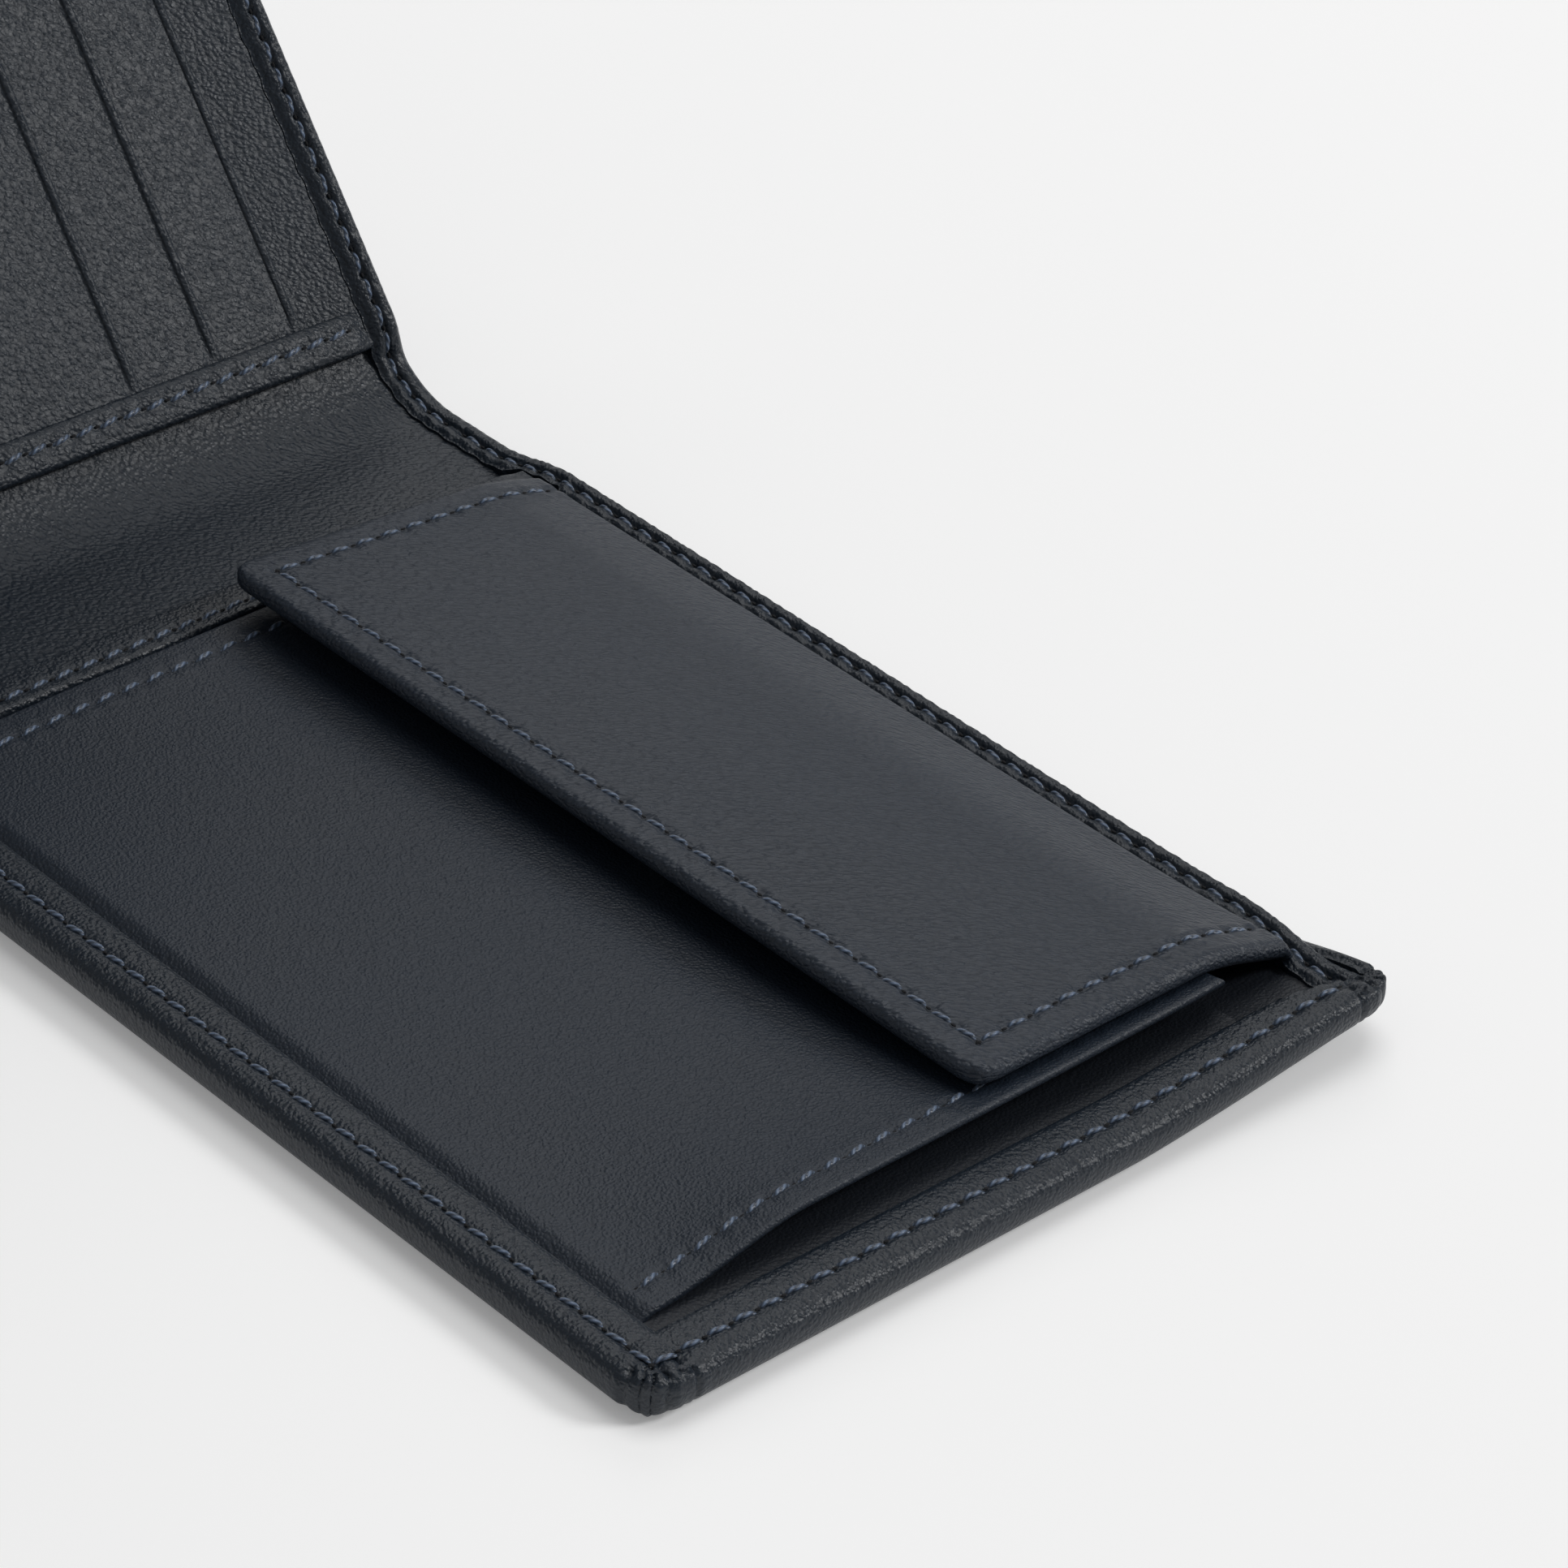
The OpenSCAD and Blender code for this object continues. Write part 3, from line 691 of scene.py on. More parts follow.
# %% The four lengths of the hide
SPINE_CUT = (FOLD_S[0] + FOLD_S[1]) / 2
CARD_CUT = FOLD_S[1] + 60.0
WING_CUT = (FOLD_S[2] + FOLD_S[3]) / 2
LENGTHS = {
    "coin": ((OUTER_END, SPINE_CUT), ("coin_leaf", "spine"), FOLD_S[0], 3.0),
    "spine": ((SPINE_CUT, CARD_CUT), ("spine", "card_leaf"), FOLD_S[1], 6.0),
    "card": ((CARD_CUT, WING_CUT), ("card_leaf", "wing_fold"), FOLD_S[2], 3.0),
    "wing": ((WING_CUT, WING_END), ("wing_fold", "wing"), FOLD_S[3], 3.0),
}


def over_fold(obj, length, slot, *nodes):
    """Bakes a piece's place into its mesh and hides the CAD nodes it stands for"""
    _, (body_a, body_b), fold_s, reach = LENGTHS[length]
    start, end = (Vector(place(fold_s + side * reach, LEAF_H / 2, AXIS_N)) for side in (-1, 1))
    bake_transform(obj)
    return stands_for(obj, slot, *nodes)


def stands_for(obj, slot, *nodes):
    """Hides the CAD nodes a piece replaces. slot, the finish it takes, is not used"""
    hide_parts(*nodes)
    return obj


def rides(obj, body, slot, *nodes):
    """A piece that moves with one body"""
    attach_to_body(obj, body)
    return stands_for(obj, slot, *nodes)


HIDES = {
    "coin": ("coin_leaf_hide", (True, False), PITCH / 3, False, ("coin_leaf_shell", "spine_shell")),
    "spine": ("spine_hide", (False, False), 3.0, False, ("spine_shell", "card_leaf_shell")),
    "card": ("card_leaf_hide", (False, False), 3.0, False, ("card_leaf_shell", "wing_fold_shell")),
    "wing": ("wing_hide", (False, True), PITCH / 3, True, ("wing_fold_shell", "wing_shell")),
}
for length, (name, edges, cell, closed_top, nodes) in HIDES.items():
    over_fold(hide(name, *LENGTHS[length][0], *edges, cell, closed_top), length, "outer_leather", *nodes)

# %% [markdown]
# ## Boards and linings
#
# Behind the hide of each leaf lies a thin board of bonded leather, and over it a cloth lining, so
# that notes slide in. They are thin flat sheets. They follow the curl of the coin leaf like everything
# else.

# %% Boards and linings inside the leaves
BOARD_T = 0.3
CLOTH_T = 0.2
BOARD_N = HIDE_T + BOARD_T
LINING_N = BOARD_N + CLOTH_T
CARD_END = FOLD_S[2] - FOLD_S[1]
WING_LEN = WING_END - FOLD_S[3]
INNER_LOW = 7
LINING_Y = (INNER_LOW, LEAF_H - 4.4)


def board(name, s_range, y_high, cell, body):
    """A stiffening board between the borders of a leaf"""
    obj = panel(name + "_sheet", s_range, (INNER_LOW, y_high), BOARD_N, BOARD_T, leather_board, cell=cell)
    return rides(obj, body, "stiffener", name)


coin_board = board("coin_leaf_board", coin_s([COIN_W - INNER_LOW, 2]), LEAF_H - 5, 3.0, "coin_leaf")
card_board = board("card_leaf_board", card_s([8, CARD_END - 4]), LEAF_H - 5, 6.0, "card_leaf")
board("wing_board", wing_s([3.5, WING_LEN - INNER_LOW]), LEAF_H - INNER_LOW, 6.0, "wing")


def cloth(name, s_range, y_range, top, body, node, rests_on, **options):
    """A cloth lining that rides on one body"""
    obj = panel(name, s_range, y_range, top, CLOTH_T, lining_cloth, **options)
    rides(obj, body, "lining", node)
    return obj


cloth("coin_leaf_lining_cloth", coin_s([COIN_W - INNER_LOW, 1]), LINING_Y, LINING_N, "coin_leaf",
      "coin_leaf_bill_lining", coin_board, cell=3.0)
cloth("card_leaf_lining_cloth", card_s([7, CARD_END - 3]), LINING_Y, LINING_N, "card_leaf",
      "card_leaf_bill_lining", card_board, cell=6.0)

# %% [markdown]
# ## Inner leather and the hem along the top
#
# The inner leather carries the pockets. It is one sheet from the coin leaf, over the spine, to the
# card leaf, and its top edge is turned over into a sewn hem, a little thicker over the leaves than
# over the spine. The hem's cut lip lies on the sheet and is drawn into small waves by the stitches.

# %% Inner sheets
BACK_TOP = 2.4
SPINE_INNER_TOP = 1.55
CARD_BACK_TOP = 2.0
WING_BACK_TOP = 1.6
UNDER_BORDER = 4.5
UNDER_HEM = 1.0
OPEN_SHEET_Y = (UNDER_BORDER, LEAF_H - UNDER_HEM)
CLOSED_SHEET_Y = (UNDER_BORDER, LEAF_H - UNDER_BORDER)
LAST_SLOT_Y = 84.0
HEM_LIP_Y = 91.0
LIP_RISE = 0.95


def inner_fold(name, s_range, y_range, cell, length, *nodes):
    """Inner leather over a fold, cut square where it meets the next length of the strip"""
    cuts = [bool(end == cut) for end, cut in zip(s_range, LENGTHS[length][0])]
    obj = panel(name, s_range, y_range, SPINE_INNER_TOP, 0.65, card_calf, cell=cell, roll=0.3, cuts=cuts)
    return over_fold(obj, length, "inner_leather", *nodes)


def card_back_top(s, y):
    """The sheet rises to the lip of the hem before it goes in under it"""
    rise = np.clip((y - LAST_SLOT_Y) / (HEM_LIP_Y - LAST_SLOT_Y), 0.0, 1.0)
    return CARD_BACK_TOP + LIP_RISE * rise * (1 - smooth(y, HEM_LIP_Y, HEM_LIP_Y + 1))


pocket_back = panel("coin_pocket_back_sheet", coin_s([COIN_W - UNDER_BORDER, 0]), OPEN_SHEET_Y, BACK_TOP, 0.8,
                    gusset_calf, cell=1.5, roll=0.4)
rides(pocket_back, "coin_leaf", "inner_leather", "coin_pocket_back")
inner_fold("spine_inner_coin_side", (-4.0, SPINE_CUT), OPEN_SHEET_Y, 1.0, "coin", "spine_inner_leather")
inner_fold("spine_inner_card_side", (SPINE_CUT, card_s(10)), OPEN_SHEET_Y, 1.0, "spine",
           "spine_inner_leather", "card_leaf_back_panel")
card_back = panel("card_leaf_back_sheet", card_s([7.5, CARD_END - 1.5]), OPEN_SHEET_Y, card_back_top,
                  0.6, card_calf, cell=1.5, roll=0.3,
                  extra_y=[LAST_SLOT_Y, *np.linspace(HEM_LIP_Y, HEM_LIP_Y + 1, 5)])
rides(card_back, "card_leaf", "inner_leather", "card_leaf_back_panel")
inner_fold("wing_fold_inner_card_side", (FOLD_S[2] - 4, WING_CUT), CLOSED_SHEET_Y, 0.8, "card",
           "wing_fold_inner_leather")
inner_fold("wing_fold_inner_wing_side", (WING_CUT, FOLD_S[3] + 4), CLOSED_SHEET_Y, 0.8, "wing",
           "wing_fold_inner_leather")
wing_back = panel("wing_back_sheet", wing_s([2.0, WING_LEN - UNDER_BORDER]), CLOSED_SHEET_Y,
                  WING_BACK_TOP, 0.5, card_calf, cell=2.0, roll=0.25)
rides(wing_back, "wing", "inner_leather", "wing_back_panel")

# %% Hem along the top edge
HEM_END_X = COIN_W - 3.6
HEM_NOSE = 1.15
HEM_ROLL = 0.5
HEM_SHIFT = 2.0
HEM_THREAD_SINK = 0.20


def hem_top(s):
    """Top of the hem over the coin leaf, the spine and the card leaf, low at its outer end"""
    outer_end = smooth(COIN_FOLD_X - s, 108, 118)
    return between(s, [4.1, (-7, 5, 2.2), (*CARD_BAND, CARD_T - 0.2)]) - 1.1 * outer_end


def hem_base(s):
    """Underside of the turned sheet in the hem"""
    return between(s, [1.7, (-3, 3, 0.9), (*CARD_BAND, 1.4)])


def hem_middle(s):
    """Where the seam runs: beside the rim, drawn in at the coin leaf's outer corner"""
    return LEAF_H - HEM_SEAM_INSET - HEM_SHIFT * corner_share(s)


def hem_width(s):
    """The lip draws back where it climbs over the end of the pocket's flange"""
    x = COIN_FOLD_X - s
    over_flange = smooth(x, -2.2, -1.2) * (1 - smooth(x, 5.5, 7.0))
    wave = 0.10 * np.sin(s * 2 * math.pi / PITCH) + 0.05 * np.sin(s * 0.83)
    return HEM_W - 1.0 * over_flange + wave


def hem(name, s_range, cuts):
    """One length of the top hem, with a rolled outer edge, a sewn top and a cut lip"""
    s_lines, s_depth = span(*s_range, PITCH / 6, HEM_ROLL, cuts)
    turn = np.linspace(0, math.pi / 2, 9)
    across = np.concatenate([(1 - np.cos(turn)) * 0.30, np.linspace(0.34, 0.62, 12),
                             np.linspace(0.66, 0.94, 9), [0.965, 0.985, 1.0, 1.0]])
    s, v = np.meshgrid(s_lines, across)
    width = hem_width(s)
    inset = v * width
    radius = (hem_top(s) - hem_base(s)) / 2
    round_nose = rolled(inset, np.minimum(radius, HEM_NOSE))
    end = rolled(s_depth, HEM_ROLL)[None, :]
    middle = hem_base(s) + radius
    inner_side = smooth(inset, HEM_SEAM_INSET - 0.6, HEM_SEAM_INSET)
    over_card = smooth(s, *CARD_BAND)
    sewn = seam_dent(inset - HEM_SEAM_INSET, s, depth=0.34, puff=(0.14 - 0.07 * over_card) * inner_side)
    cord = 0.28 * smooth(inset, 0.2, 1.0) * (1 - smooth(inset, 1.75, 2.1))
    rim_creases = 0.07 * np.sin(s * 7.3 + 2 * np.sin(s * 1.7)) * bell(inset - 0.8, 0.7)
    seam_creases = 0.06 * np.sin(s * 11.0 + 3 * np.sin(s * 0.9)) * bell(inset - 1.3, 0.4)
    lip_drop = 0.35 * smooth(inset, width - 0.8, width) + 0.60 * over_card * smooth(inset, 2.2, 3.6)
    relief = (sewn + cord) - (rim_creases + seam_creases)
    top = middle + radius * round_nose * end + relief * round_nose - lip_drop
    bottom = middle - radius * round_nose * end
    closed_rim = np.zeros(s.shape, bool)
    closed_rim[-1, :] = True
    closed_rim[:, [0, -1]] = True
    y = LEAF_H - inset - HEM_SHIFT * corner_share(s)
    return closed_piece(name, s, y, top, bottom, outer_calf, shut=closed_rim)


hem_low = float(coin_s(HEM_END_X))
over_fold(hem("top_hem_coin_side", (hem_low, SPINE_CUT), (False, True)), "coin", "inner_leather",
          "coin_leaf_top_border", "spine_top_hem")
over_fold(hem("top_hem_spine", (SPINE_CUT, CARD_CUT), (True, True)), "spine", "inner_leather",
          "spine_top_hem", "card_leaf_top_hem")
rides(hem("top_hem_card_side", (CARD_CUT, FOLD_S[2] - 1.6), (True, False)), "card_leaf", "inner_leather",
      "card_leaf_top_hem")

# %% [markdown]
# ## The coin pocket
#
# The pocket front is a single sheet of calf, folded back along its two sides and held to the leaf by
# folded bellows. The bellows at the outer side push its edge up, so the pocket stands open a little
# there. The lower edge runs in under the border.

# %% Pocket front
FRONT_X0 = leaf_x(front_low.x)
FRONT_X1 = leaf_x(front_high.x)
FRONT_Y0 = leaf_y(front_low.y)
FRONT_Y1 = leaf_y(front_high.y)
FRONT_T = 1.0
FRONT_N = 4.3
FRONT_SEAMS = (FRONT_X0 + 3.6, FRONT_X1 - 3.2)
OUTER_LIFT = 3.1
BULGE_X = 62
BULGE_POWER = 3.2


def front_top(s, y):
    """Upper face of the pocket front, which bulges up along its outer side"""
    x = COIN_FOLD_X - s
    base = FRONT_N + 0.5 * (y - FRONT_Y0) / (FRONT_Y1 - FRONT_Y0)
    open_side = OUTER_LIFT * smooth(y, 8, 27) * (1 - 0.12 * smooth(y, 60, 80))
    bulge = np.clip((x - BULGE_X) / (FRONT_X1 - BULGE_X), 0, 1) ** BULGE_POWER
    closed_side = 0.35 * (1 - smooth(x, FRONT_X0, 20)) * smooth(y, 8, 30)
    tuck = 0.9 * (1 - smooth(y, FRONT_Y0 - 1.0, FRONT_Y0 + 1.2))
    sewn = sum(seam_dent(x - seam_x, y, depth=0.16) for seam_x in FRONT_SEAMS)
    return base + open_side * bulge + closed_side - tuck + sewn


front = panel("coin_pocket_front_leather", coin_s([FRONT_X1, FRONT_X0]), (FRONT_Y0 - 1.0, FRONT_Y1),
              front_top, FRONT_T, front_calf, cell=0.55, roll=0.5)
rides(front, "coin_pocket_front", "inner_leather", "coin_pocket_front")


def front_inside(s, y):
    """Upper face of the lining under the pocket front"""
    return front_top(s, y) - FRONT_T - 0.02


cloth("coin_pocket_front_lining_cloth", coin_s([FRONT_X1 - 3.5, FRONT_X0 + 3.5]), (FRONT_Y0, FRONT_Y1 - 2.5),
      front_inside, "coin_pocket_front", "coin_pocket_front_lining", front, cell=2.0)

# %% [markdown]
# ## Flange and bellows
#
# Beside the spine the pocket's bellows is sewn down along a narrow flange, whose folded edge makes
# the crease of the coin leaf. On the outer side the bellows comes out from under the border, runs in
# below the pocket front, folds, and comes back up to the front's edge.

# %% Flange on the spine side
FLANGE_TOP = 3.95
FLANGE_SEAM = 3.6
BELLOWS_T = 0.3


def flange_top(s, y):
    """Upper face of the flange, dented by its seam"""
    x = COIN_FOLD_X - s
    return FLANGE_TOP + seam_dent(x - FLANGE_SEAM, y, depth=0.18) - 0.5 * smooth(y, 88, 91)


flange = panel("coin_pocket_flange", coin_s([5.4, 0.1]), (5.0, LEAF_H - 3.2), flange_top, 1.6, outer_calf,
               cell=0.6, roll=0.55)
rides(flange, "coin_leaf", "gusset_leather", "coin_gusset_left")


def bellows(name, outer_x, fold_x, top_x, node):
    """Two plies that meet in a fold under the pocket front"""
    rows = np.linspace(FRONT_Y0 - 0.8, FRONT_Y1 + 0.4, 110)
    plies = np.linspace(0, 1, 41)
    ply, y = np.meshgrid(plies, rows)
    lower = 1 - smooth(ply, 0.42, 0.58)
    x_lower = outer_x + (fold_x - outer_x) * np.clip(ply / 0.5, 0, 1)
    x_upper = fold_x + (top_x - fold_x) * np.clip((ply - 0.5) / 0.5, 0, 1)
    x = np.where(ply < 0.5, x_lower, x_upper)
    under_front = front_top(coin_s(top_x), np.minimum(y, FRONT_Y1)) - FRONT_T - 0.15
    floor = BACK_TOP + 0.32 + 0.45 * bell(ply - 0.16, 0.12)
    share = np.clip((ply - 0.5) / 0.5, 0, 1)
    rise = BACK_TOP + 0.5 + (under_front - BACK_TOP - 0.5) * share**1.2
    height = floor * lower + rise * (1 - lower)
    skin = grid(name, place(coin_s(x), y, height))
    active(skin)
    thick = skin.modifiers.new("thickness", "SOLIDIFY")
    thick.thickness = BELLOWS_T * MM
    thick.offset = 0.0
    bpy.ops.object.modifier_apply(modifier=thick.name)
    finish_mesh(skin, gusset_calf)
    start = Vector(place(coin_s(top_x), 45, BACK_TOP + 0.6))
    end = Vector(place(coin_s(top_x), 45, BACK_TOP + 1.8))
    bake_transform(skin)
    return stands_for(skin, "gusset_leather", node)


bellows("coin_gusset_outer_bellows", COIN_W - 5.2, FRONT_X1 - 8, FRONT_X1 - 0.9, "coin_gusset_right")
bellows("coin_gusset_spine_bellows", 4.8, FRONT_X0 + 8, FRONT_X0 + 0.9, "coin_gusset_left")

# %% [markdown]
# ## The flap
#
# The flap is two leathers turned round a thin board, so its rim is round and the stitching sits in a
# groove a few millimetres in. It leaves the leaf just under the hem, climbs over the pocket and lies
# almost level. It is modelled as a crowned pad: the height of its middle, a rolled rim, and the
# seam's dents on top.

# %% Flap
FLAP_X0 = leaf_x(flap_low.x)
FLAP_X1 = leaf_x(flap_high.x)
FLAP_Y0 = leaf_y(flap_low.y)
FLAP_Y1 = leaf_y(flap_high.y) + 1.4
FLAP_T = 2.3
FLAP_SEAM = 3.8
FLAP_PITCH = 3.27
FLAP_THREAD_SINK = 0.06
FLAP_HINGE_N = 4.9


def flap_crown(s, y):
    """Upper face of the flap, without its seam"""
    x = COIN_FOLD_X - s
    back = FLAP_Y1 - y
    spine_side = 4.6 + 3.0 * smooth(back, -3.5, 11) + 2.45 * np.clip((back - 8) / 36, 0, 1)
    outer_side = 4.7 + 4.7 * smooth(back, -3.5, 15) + 0.6 * smooth(back, 12, 30)
    share = smooth(x, FLAP_X0, FLAP_X1 - 12)
    root = 1.9 * (1 - smooth(back, 0.3, 2.4))
    return spine_side + (outer_side - spine_side) * share - root


def flap_top(s, y):
    """Upper face of the flap with the dents of its seam on three sides"""
    x = COIN_FOLD_X - s
    left, right, free = x - FLAP_X0, FLAP_X1 - x, y - FLAP_Y0
    side = np.minimum(left, right)
    inset = np.minimum(side, free)
    travel = np.where(side < free, y - FLAP_Y0 - FLAP_SEAM, x - FLAP_X0 - FLAP_SEAM)
    return flap_crown(s, y) + seam_dent(inset - FLAP_SEAM, travel, pitch=FLAP_PITCH, depth=0.26, puff=0.12)


def flap_piece(name, inset, depth, thick, surface, material, **options):
    """A layer of the flap, set in from its free edges and below its top"""
    s_range = coin_s([FLAP_X1 - inset, FLAP_X0 + inset])
    y_range = (FLAP_Y0 + inset, FLAP_Y1 - inset / 2)
    corners = [(float(s), y_range[0]) for s in s_range]
    return panel(name, s_range, y_range, lambda s, y: surface(s, y) - depth, thick, material,
                 corners=corners, **options)


def on_flap(obj, slot, node):
    """Bakes a flap layer's place into its mesh and hides the CAD node it stands for"""
    start, end = (Vector(place(coin_s(60), FLAP_Y1 - back, FLAP_HINGE_N)) for back in (1.0, 5.0))
    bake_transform(obj)
    return stands_for(obj, slot, node)


flap = flap_piece("coin_flap_calf", 0.0, 0.0, FLAP_T, flap_top, smooth_calf, cell=0.5, roll=1.25, radius=3.2)
on_flap(flap, "inner_leather", "coin_flap_leather")
flap_lining = flap_piece("coin_flap_lining_calf", 1.0, FLAP_T - 0.25, 0.3, flap_crown, gusset_calf, cell=1.5,
                         roll=0.15, radius=2.6)
on_flap(flap_lining, "inner_leather", "coin_flap_lining")
flap_board = flap_piece("coin_flap_board_sheet", 2.2, 0.9, 0.4, flap_crown, leather_board, cell=3.0, roll=0.2,
                        radius=2.0)
on_flap(flap_board, "stiffener", "coin_flap_board")

# %% [markdown]
# ## Card slots
#
# Each leaf has a stack of three card pockets, every one a sheet that is a step shorter and one
# leather thickness prouder than the one behind it. A folded strip frames them at the side. Near that
# strip the sheets are pressed to one level, so their mouths fade out into the strip's crease.

# %% Slots and the strips that frame them
SLOT_STEP = 11.0
SLOT_LOW = 62.0
SLOT_T = 0.4
SLOT_LIFT = 0.15
MOUTH_LINES = np.array([0.45, 0.6, 0.8, 0.93, 0.98, 1.04, 1.1, 1.4, 1.7, 1.85, 1.92, 2.0, 2.2, 2.6])
MOUTH_RELIEF = 0.20
STRIP_W = 4.6
STRIP_T = 1.5


def slot_sheet(node, index, s_range, first_top, body):
    """One card pocket. Its mouth is a rolled edge with a creased line under it"""
    s_side, s_end = s_range
    mouth = SLOT_LOW + (2 - index) * SLOT_STEP

    def top(s, y):
        """A raised bead along the mouth, and a pressed line below it that stops short of the ends"""
        below = mouth - y
        half = abs(s_end - s_side) / 2
        ends = smooth(np.abs(s - (s_side + s_end) / 2), half - 1.6, half - 0.6)
        pressed = smooth(below, 0.95, 1.1) * (1 - smooth(below, 1.85, 2.0))
        bead = bell(below - 0.5, 0.42)
        return first_top + index * SLOT_T + MOUTH_RELIEF * (bead - pressed) * (1 - ends)

    obj = panel(f"{node}_sheet", s_range, (4.8, mouth), top, 0.55, card_calf, cell=1.1, roll=0.28,
                extra_y=mouth - MOUTH_LINES)
    return rides(obj, body, "inner_leather", node)


def strip(name, s_range, y_range, top, seam_s, body, node):
    """A folded strip beside the slots, with a round outer fold and a thinner inner edge"""

    def height(s, y):
        """Level along the strip, lower at its crease, which is the second end of s_range"""
        to_crease = np.abs(s - s_range[1])
        sewn = seam_dent(s - seam_s, y, depth=0.28)
        return top + sewn - 0.25 * (1 - smooth(to_crease, 0.0, 1.6)) - 0.5 * smooth(y, LEAF_H - 6, LEAF_H - 4)

    obj = panel(name, s_range, y_range, height, STRIP_T, card_calf, cell=0.6, roll=0.6)
    return rides(obj, body, "inner_leather", node)


PANEL_U = 6.4
card_level = CARD_BACK_TOP + 1.15
card_slots = card_s([PANEL_U + STRIP_W - 0.3, CARD_END - STRIP_W - 0.8])
wing_slots = wing_s([2.4 + STRIP_W, WING_LEN - 4.8])
for index, word in enumerate(("upper", "middle", "lower")):
    slot_sheet(f"card_slot_{word}", index, card_slots, CARD_BACK_TOP + SLOT_LIFT, "card_leaf")
    slot_sheet(f"wing_slot_{word}", index, wing_slots, WING_BACK_TOP + SLOT_LIFT, "wing")
CARD_SEAMS = (PANEL_U + 2.6, CARD_END - 4.2)
WING_SEAM = 5.0
card_strips = [(PANEL_U, PANEL_U + STRIP_W, CARD_SEAMS[0]),
               (CARD_END - 1.6, CARD_END - 1.6 - STRIP_W, CARD_SEAMS[1])]
for number, (fold_u, crease_u, seam_u) in enumerate(card_strips):
    strip(f"card_panel_edge_{number + 1}", (float(card_s(fold_u)), float(card_s(crease_u))),
          (5.0, LEAF_H - 2.6), card_level + 0.2, float(card_s(seam_u)), "card_leaf", "card_panel_edges")
strip("wing_panel_edge_strip", (float(wing_s(2.5)), float(wing_s(2.5 + STRIP_W))), (5.0, LEAF_H - 5.0),
      WING_BACK_TOP + 1.15, float(wing_s(WING_SEAM)), "wing", "wing_panel_edge")

# %% [markdown]
# ## Thread
#
# A stitch is a short, slightly flattened length of two-ply thread that dives into a needle hole at
# each end. One stitch and one hole are modelled and copied along each seam, every copy turned to the
# surface and about ten degrees off the seam's line, as a lock stitch lies.

# %% One stitch and one needle hole
STITCH_LEN = 2.5
STITCH_W = 0.58
STITCH_FLATNESS = 0.42
STITCH_DIVE = 0.30
HOLE_SIZE = (0.34 * MM, 0.17 * MM, 0.09 * MM)
SLANT = 0.20
LOOK_AHEAD = 0.3
LOOK_UP = 0.5
THREAD_SINK = 0.02


def stitch_master():
    """A sphere drawn out into a stitch, with its ends bent down"""
    deselect()
    bpy.ops.mesh.primitive_uv_sphere_add(segments=8, ring_count=9, radius=1.0, rotation=(0, math.pi / 2, 0))
    obj = bpy.context.object
    bpy.ops.object.transform_apply(rotation=True)
    co = np.array([v.co for v in obj.data.vertices])
    end = np.clip(np.abs(co[:, 0]), 0, 1)
    full = np.sqrt(np.clip(1 - end**3.2, 0, 1)) / np.sqrt(np.clip(1 - end**2, 1e-4, 1))
    full[end > 0.999] = 0
    co[:, 1] *= full * STITCH_W / 2
    co[:, 2] = co[:, 2] * full * STITCH_W * STITCH_FLATNESS - STITCH_DIVE * end**3
    co[:, 0] *= STITCH_LEN / 2
    obj.data.vertices.foreach_set("co", (co * MM).astype(np.float32).ravel())
    obj.data.update()
    obj.data.materials.append(navy_thread)
    return obj


def hole_master():
    """A squashed dark bead that sits in the needle hole"""
    deselect()
    bpy.ops.mesh.primitive_uv_sphere_add(segments=7, ring_count=5, radius=1.0)
    obj = bpy.context.object
    obj.scale = HOLE_SIZE
    bpy.ops.object.transform_apply(scale=True)
    obj.data.materials.append(needle_hole)
    return obj


stitch_shape = stitch_master()
hole_shape = hole_master()
for shape in (stitch_shape, hole_shape):
    active(shape)
    bpy.ops.object.shade_smooth()


def copies(shape, centres, ahead, up, lean, name):
    """One object of copies of a shape, each turned to its place on the surface"""
    made = []
    for centre, front_point, top_point in zip(centres, ahead, up):
        forward = Vector(front_point - centre).normalized()
        normal = Vector(top_point - centre).normalized()
        side = normal.cross(forward).normalized()
        forward = (forward + side * lean).normalized()
        side = normal.cross(forward).normalized()
        normal = forward.cross(side)
        turn = Matrix((forward, side, normal)).transposed().to_4x4()
        copy = shape.copy()
        copy.data = shape.data.copy()
        copy.data.transform(Matrix.Translation(Vector(centre)) @ turn)
        bpy.context.collection.objects.link(copy)
        made.append(copy)
    return join(name, made)


def sew(name, path, length, pitch, attach, lean=SLANT, first=0.5):
    """Sews a seam along path(distance, height) for a length, and gives both pieces to attach"""
    count = int(length / pitch + 0.3)
    middles = (np.arange(count) + first) * pitch
    ends = np.arange(count + 1) * pitch + (first - 0.5) * pitch
    pieces = []
    for shape, where, tilt, height, label in ((stitch_shape, middles, lean, 0.02, "thread"),
                                              (hole_shape, ends, 0.0, -0.05, "holes")):
        ahead, above = path(where + LOOK_AHEAD, height), path(where, height + LOOK_UP)
        pieces.append(copies(shape, path(where, height), ahead, above, tilt, f"{name}_{label}"))
    for piece in pieces:
        attach(piece)
    print(f"{name}: {count} stitches")


# %% Seams that follow the strip
def near_path(s_start):
    """The border's seam along the lower edge, going towards the wing"""
    def path(t, height):
        s = s_start + t
        return place(s, SEAM_INSET, border_height(s) - THREAD_SINK + height)
    return path


def hem_path(s_start):
    """The hem's seam along the top edge"""
    def path(t, height):
        s = s_start + t
        return place(s, hem_middle(s), hem_top(s) - HEM_THREAD_SINK + height)
    return path


def whole(low, high):
    """The first hole at or after low, and the whole stitches from there to high"""
    start = math.ceil(low / PITCH) * PITCH
    return start, math.floor((high - start) / PITCH) * PITCH


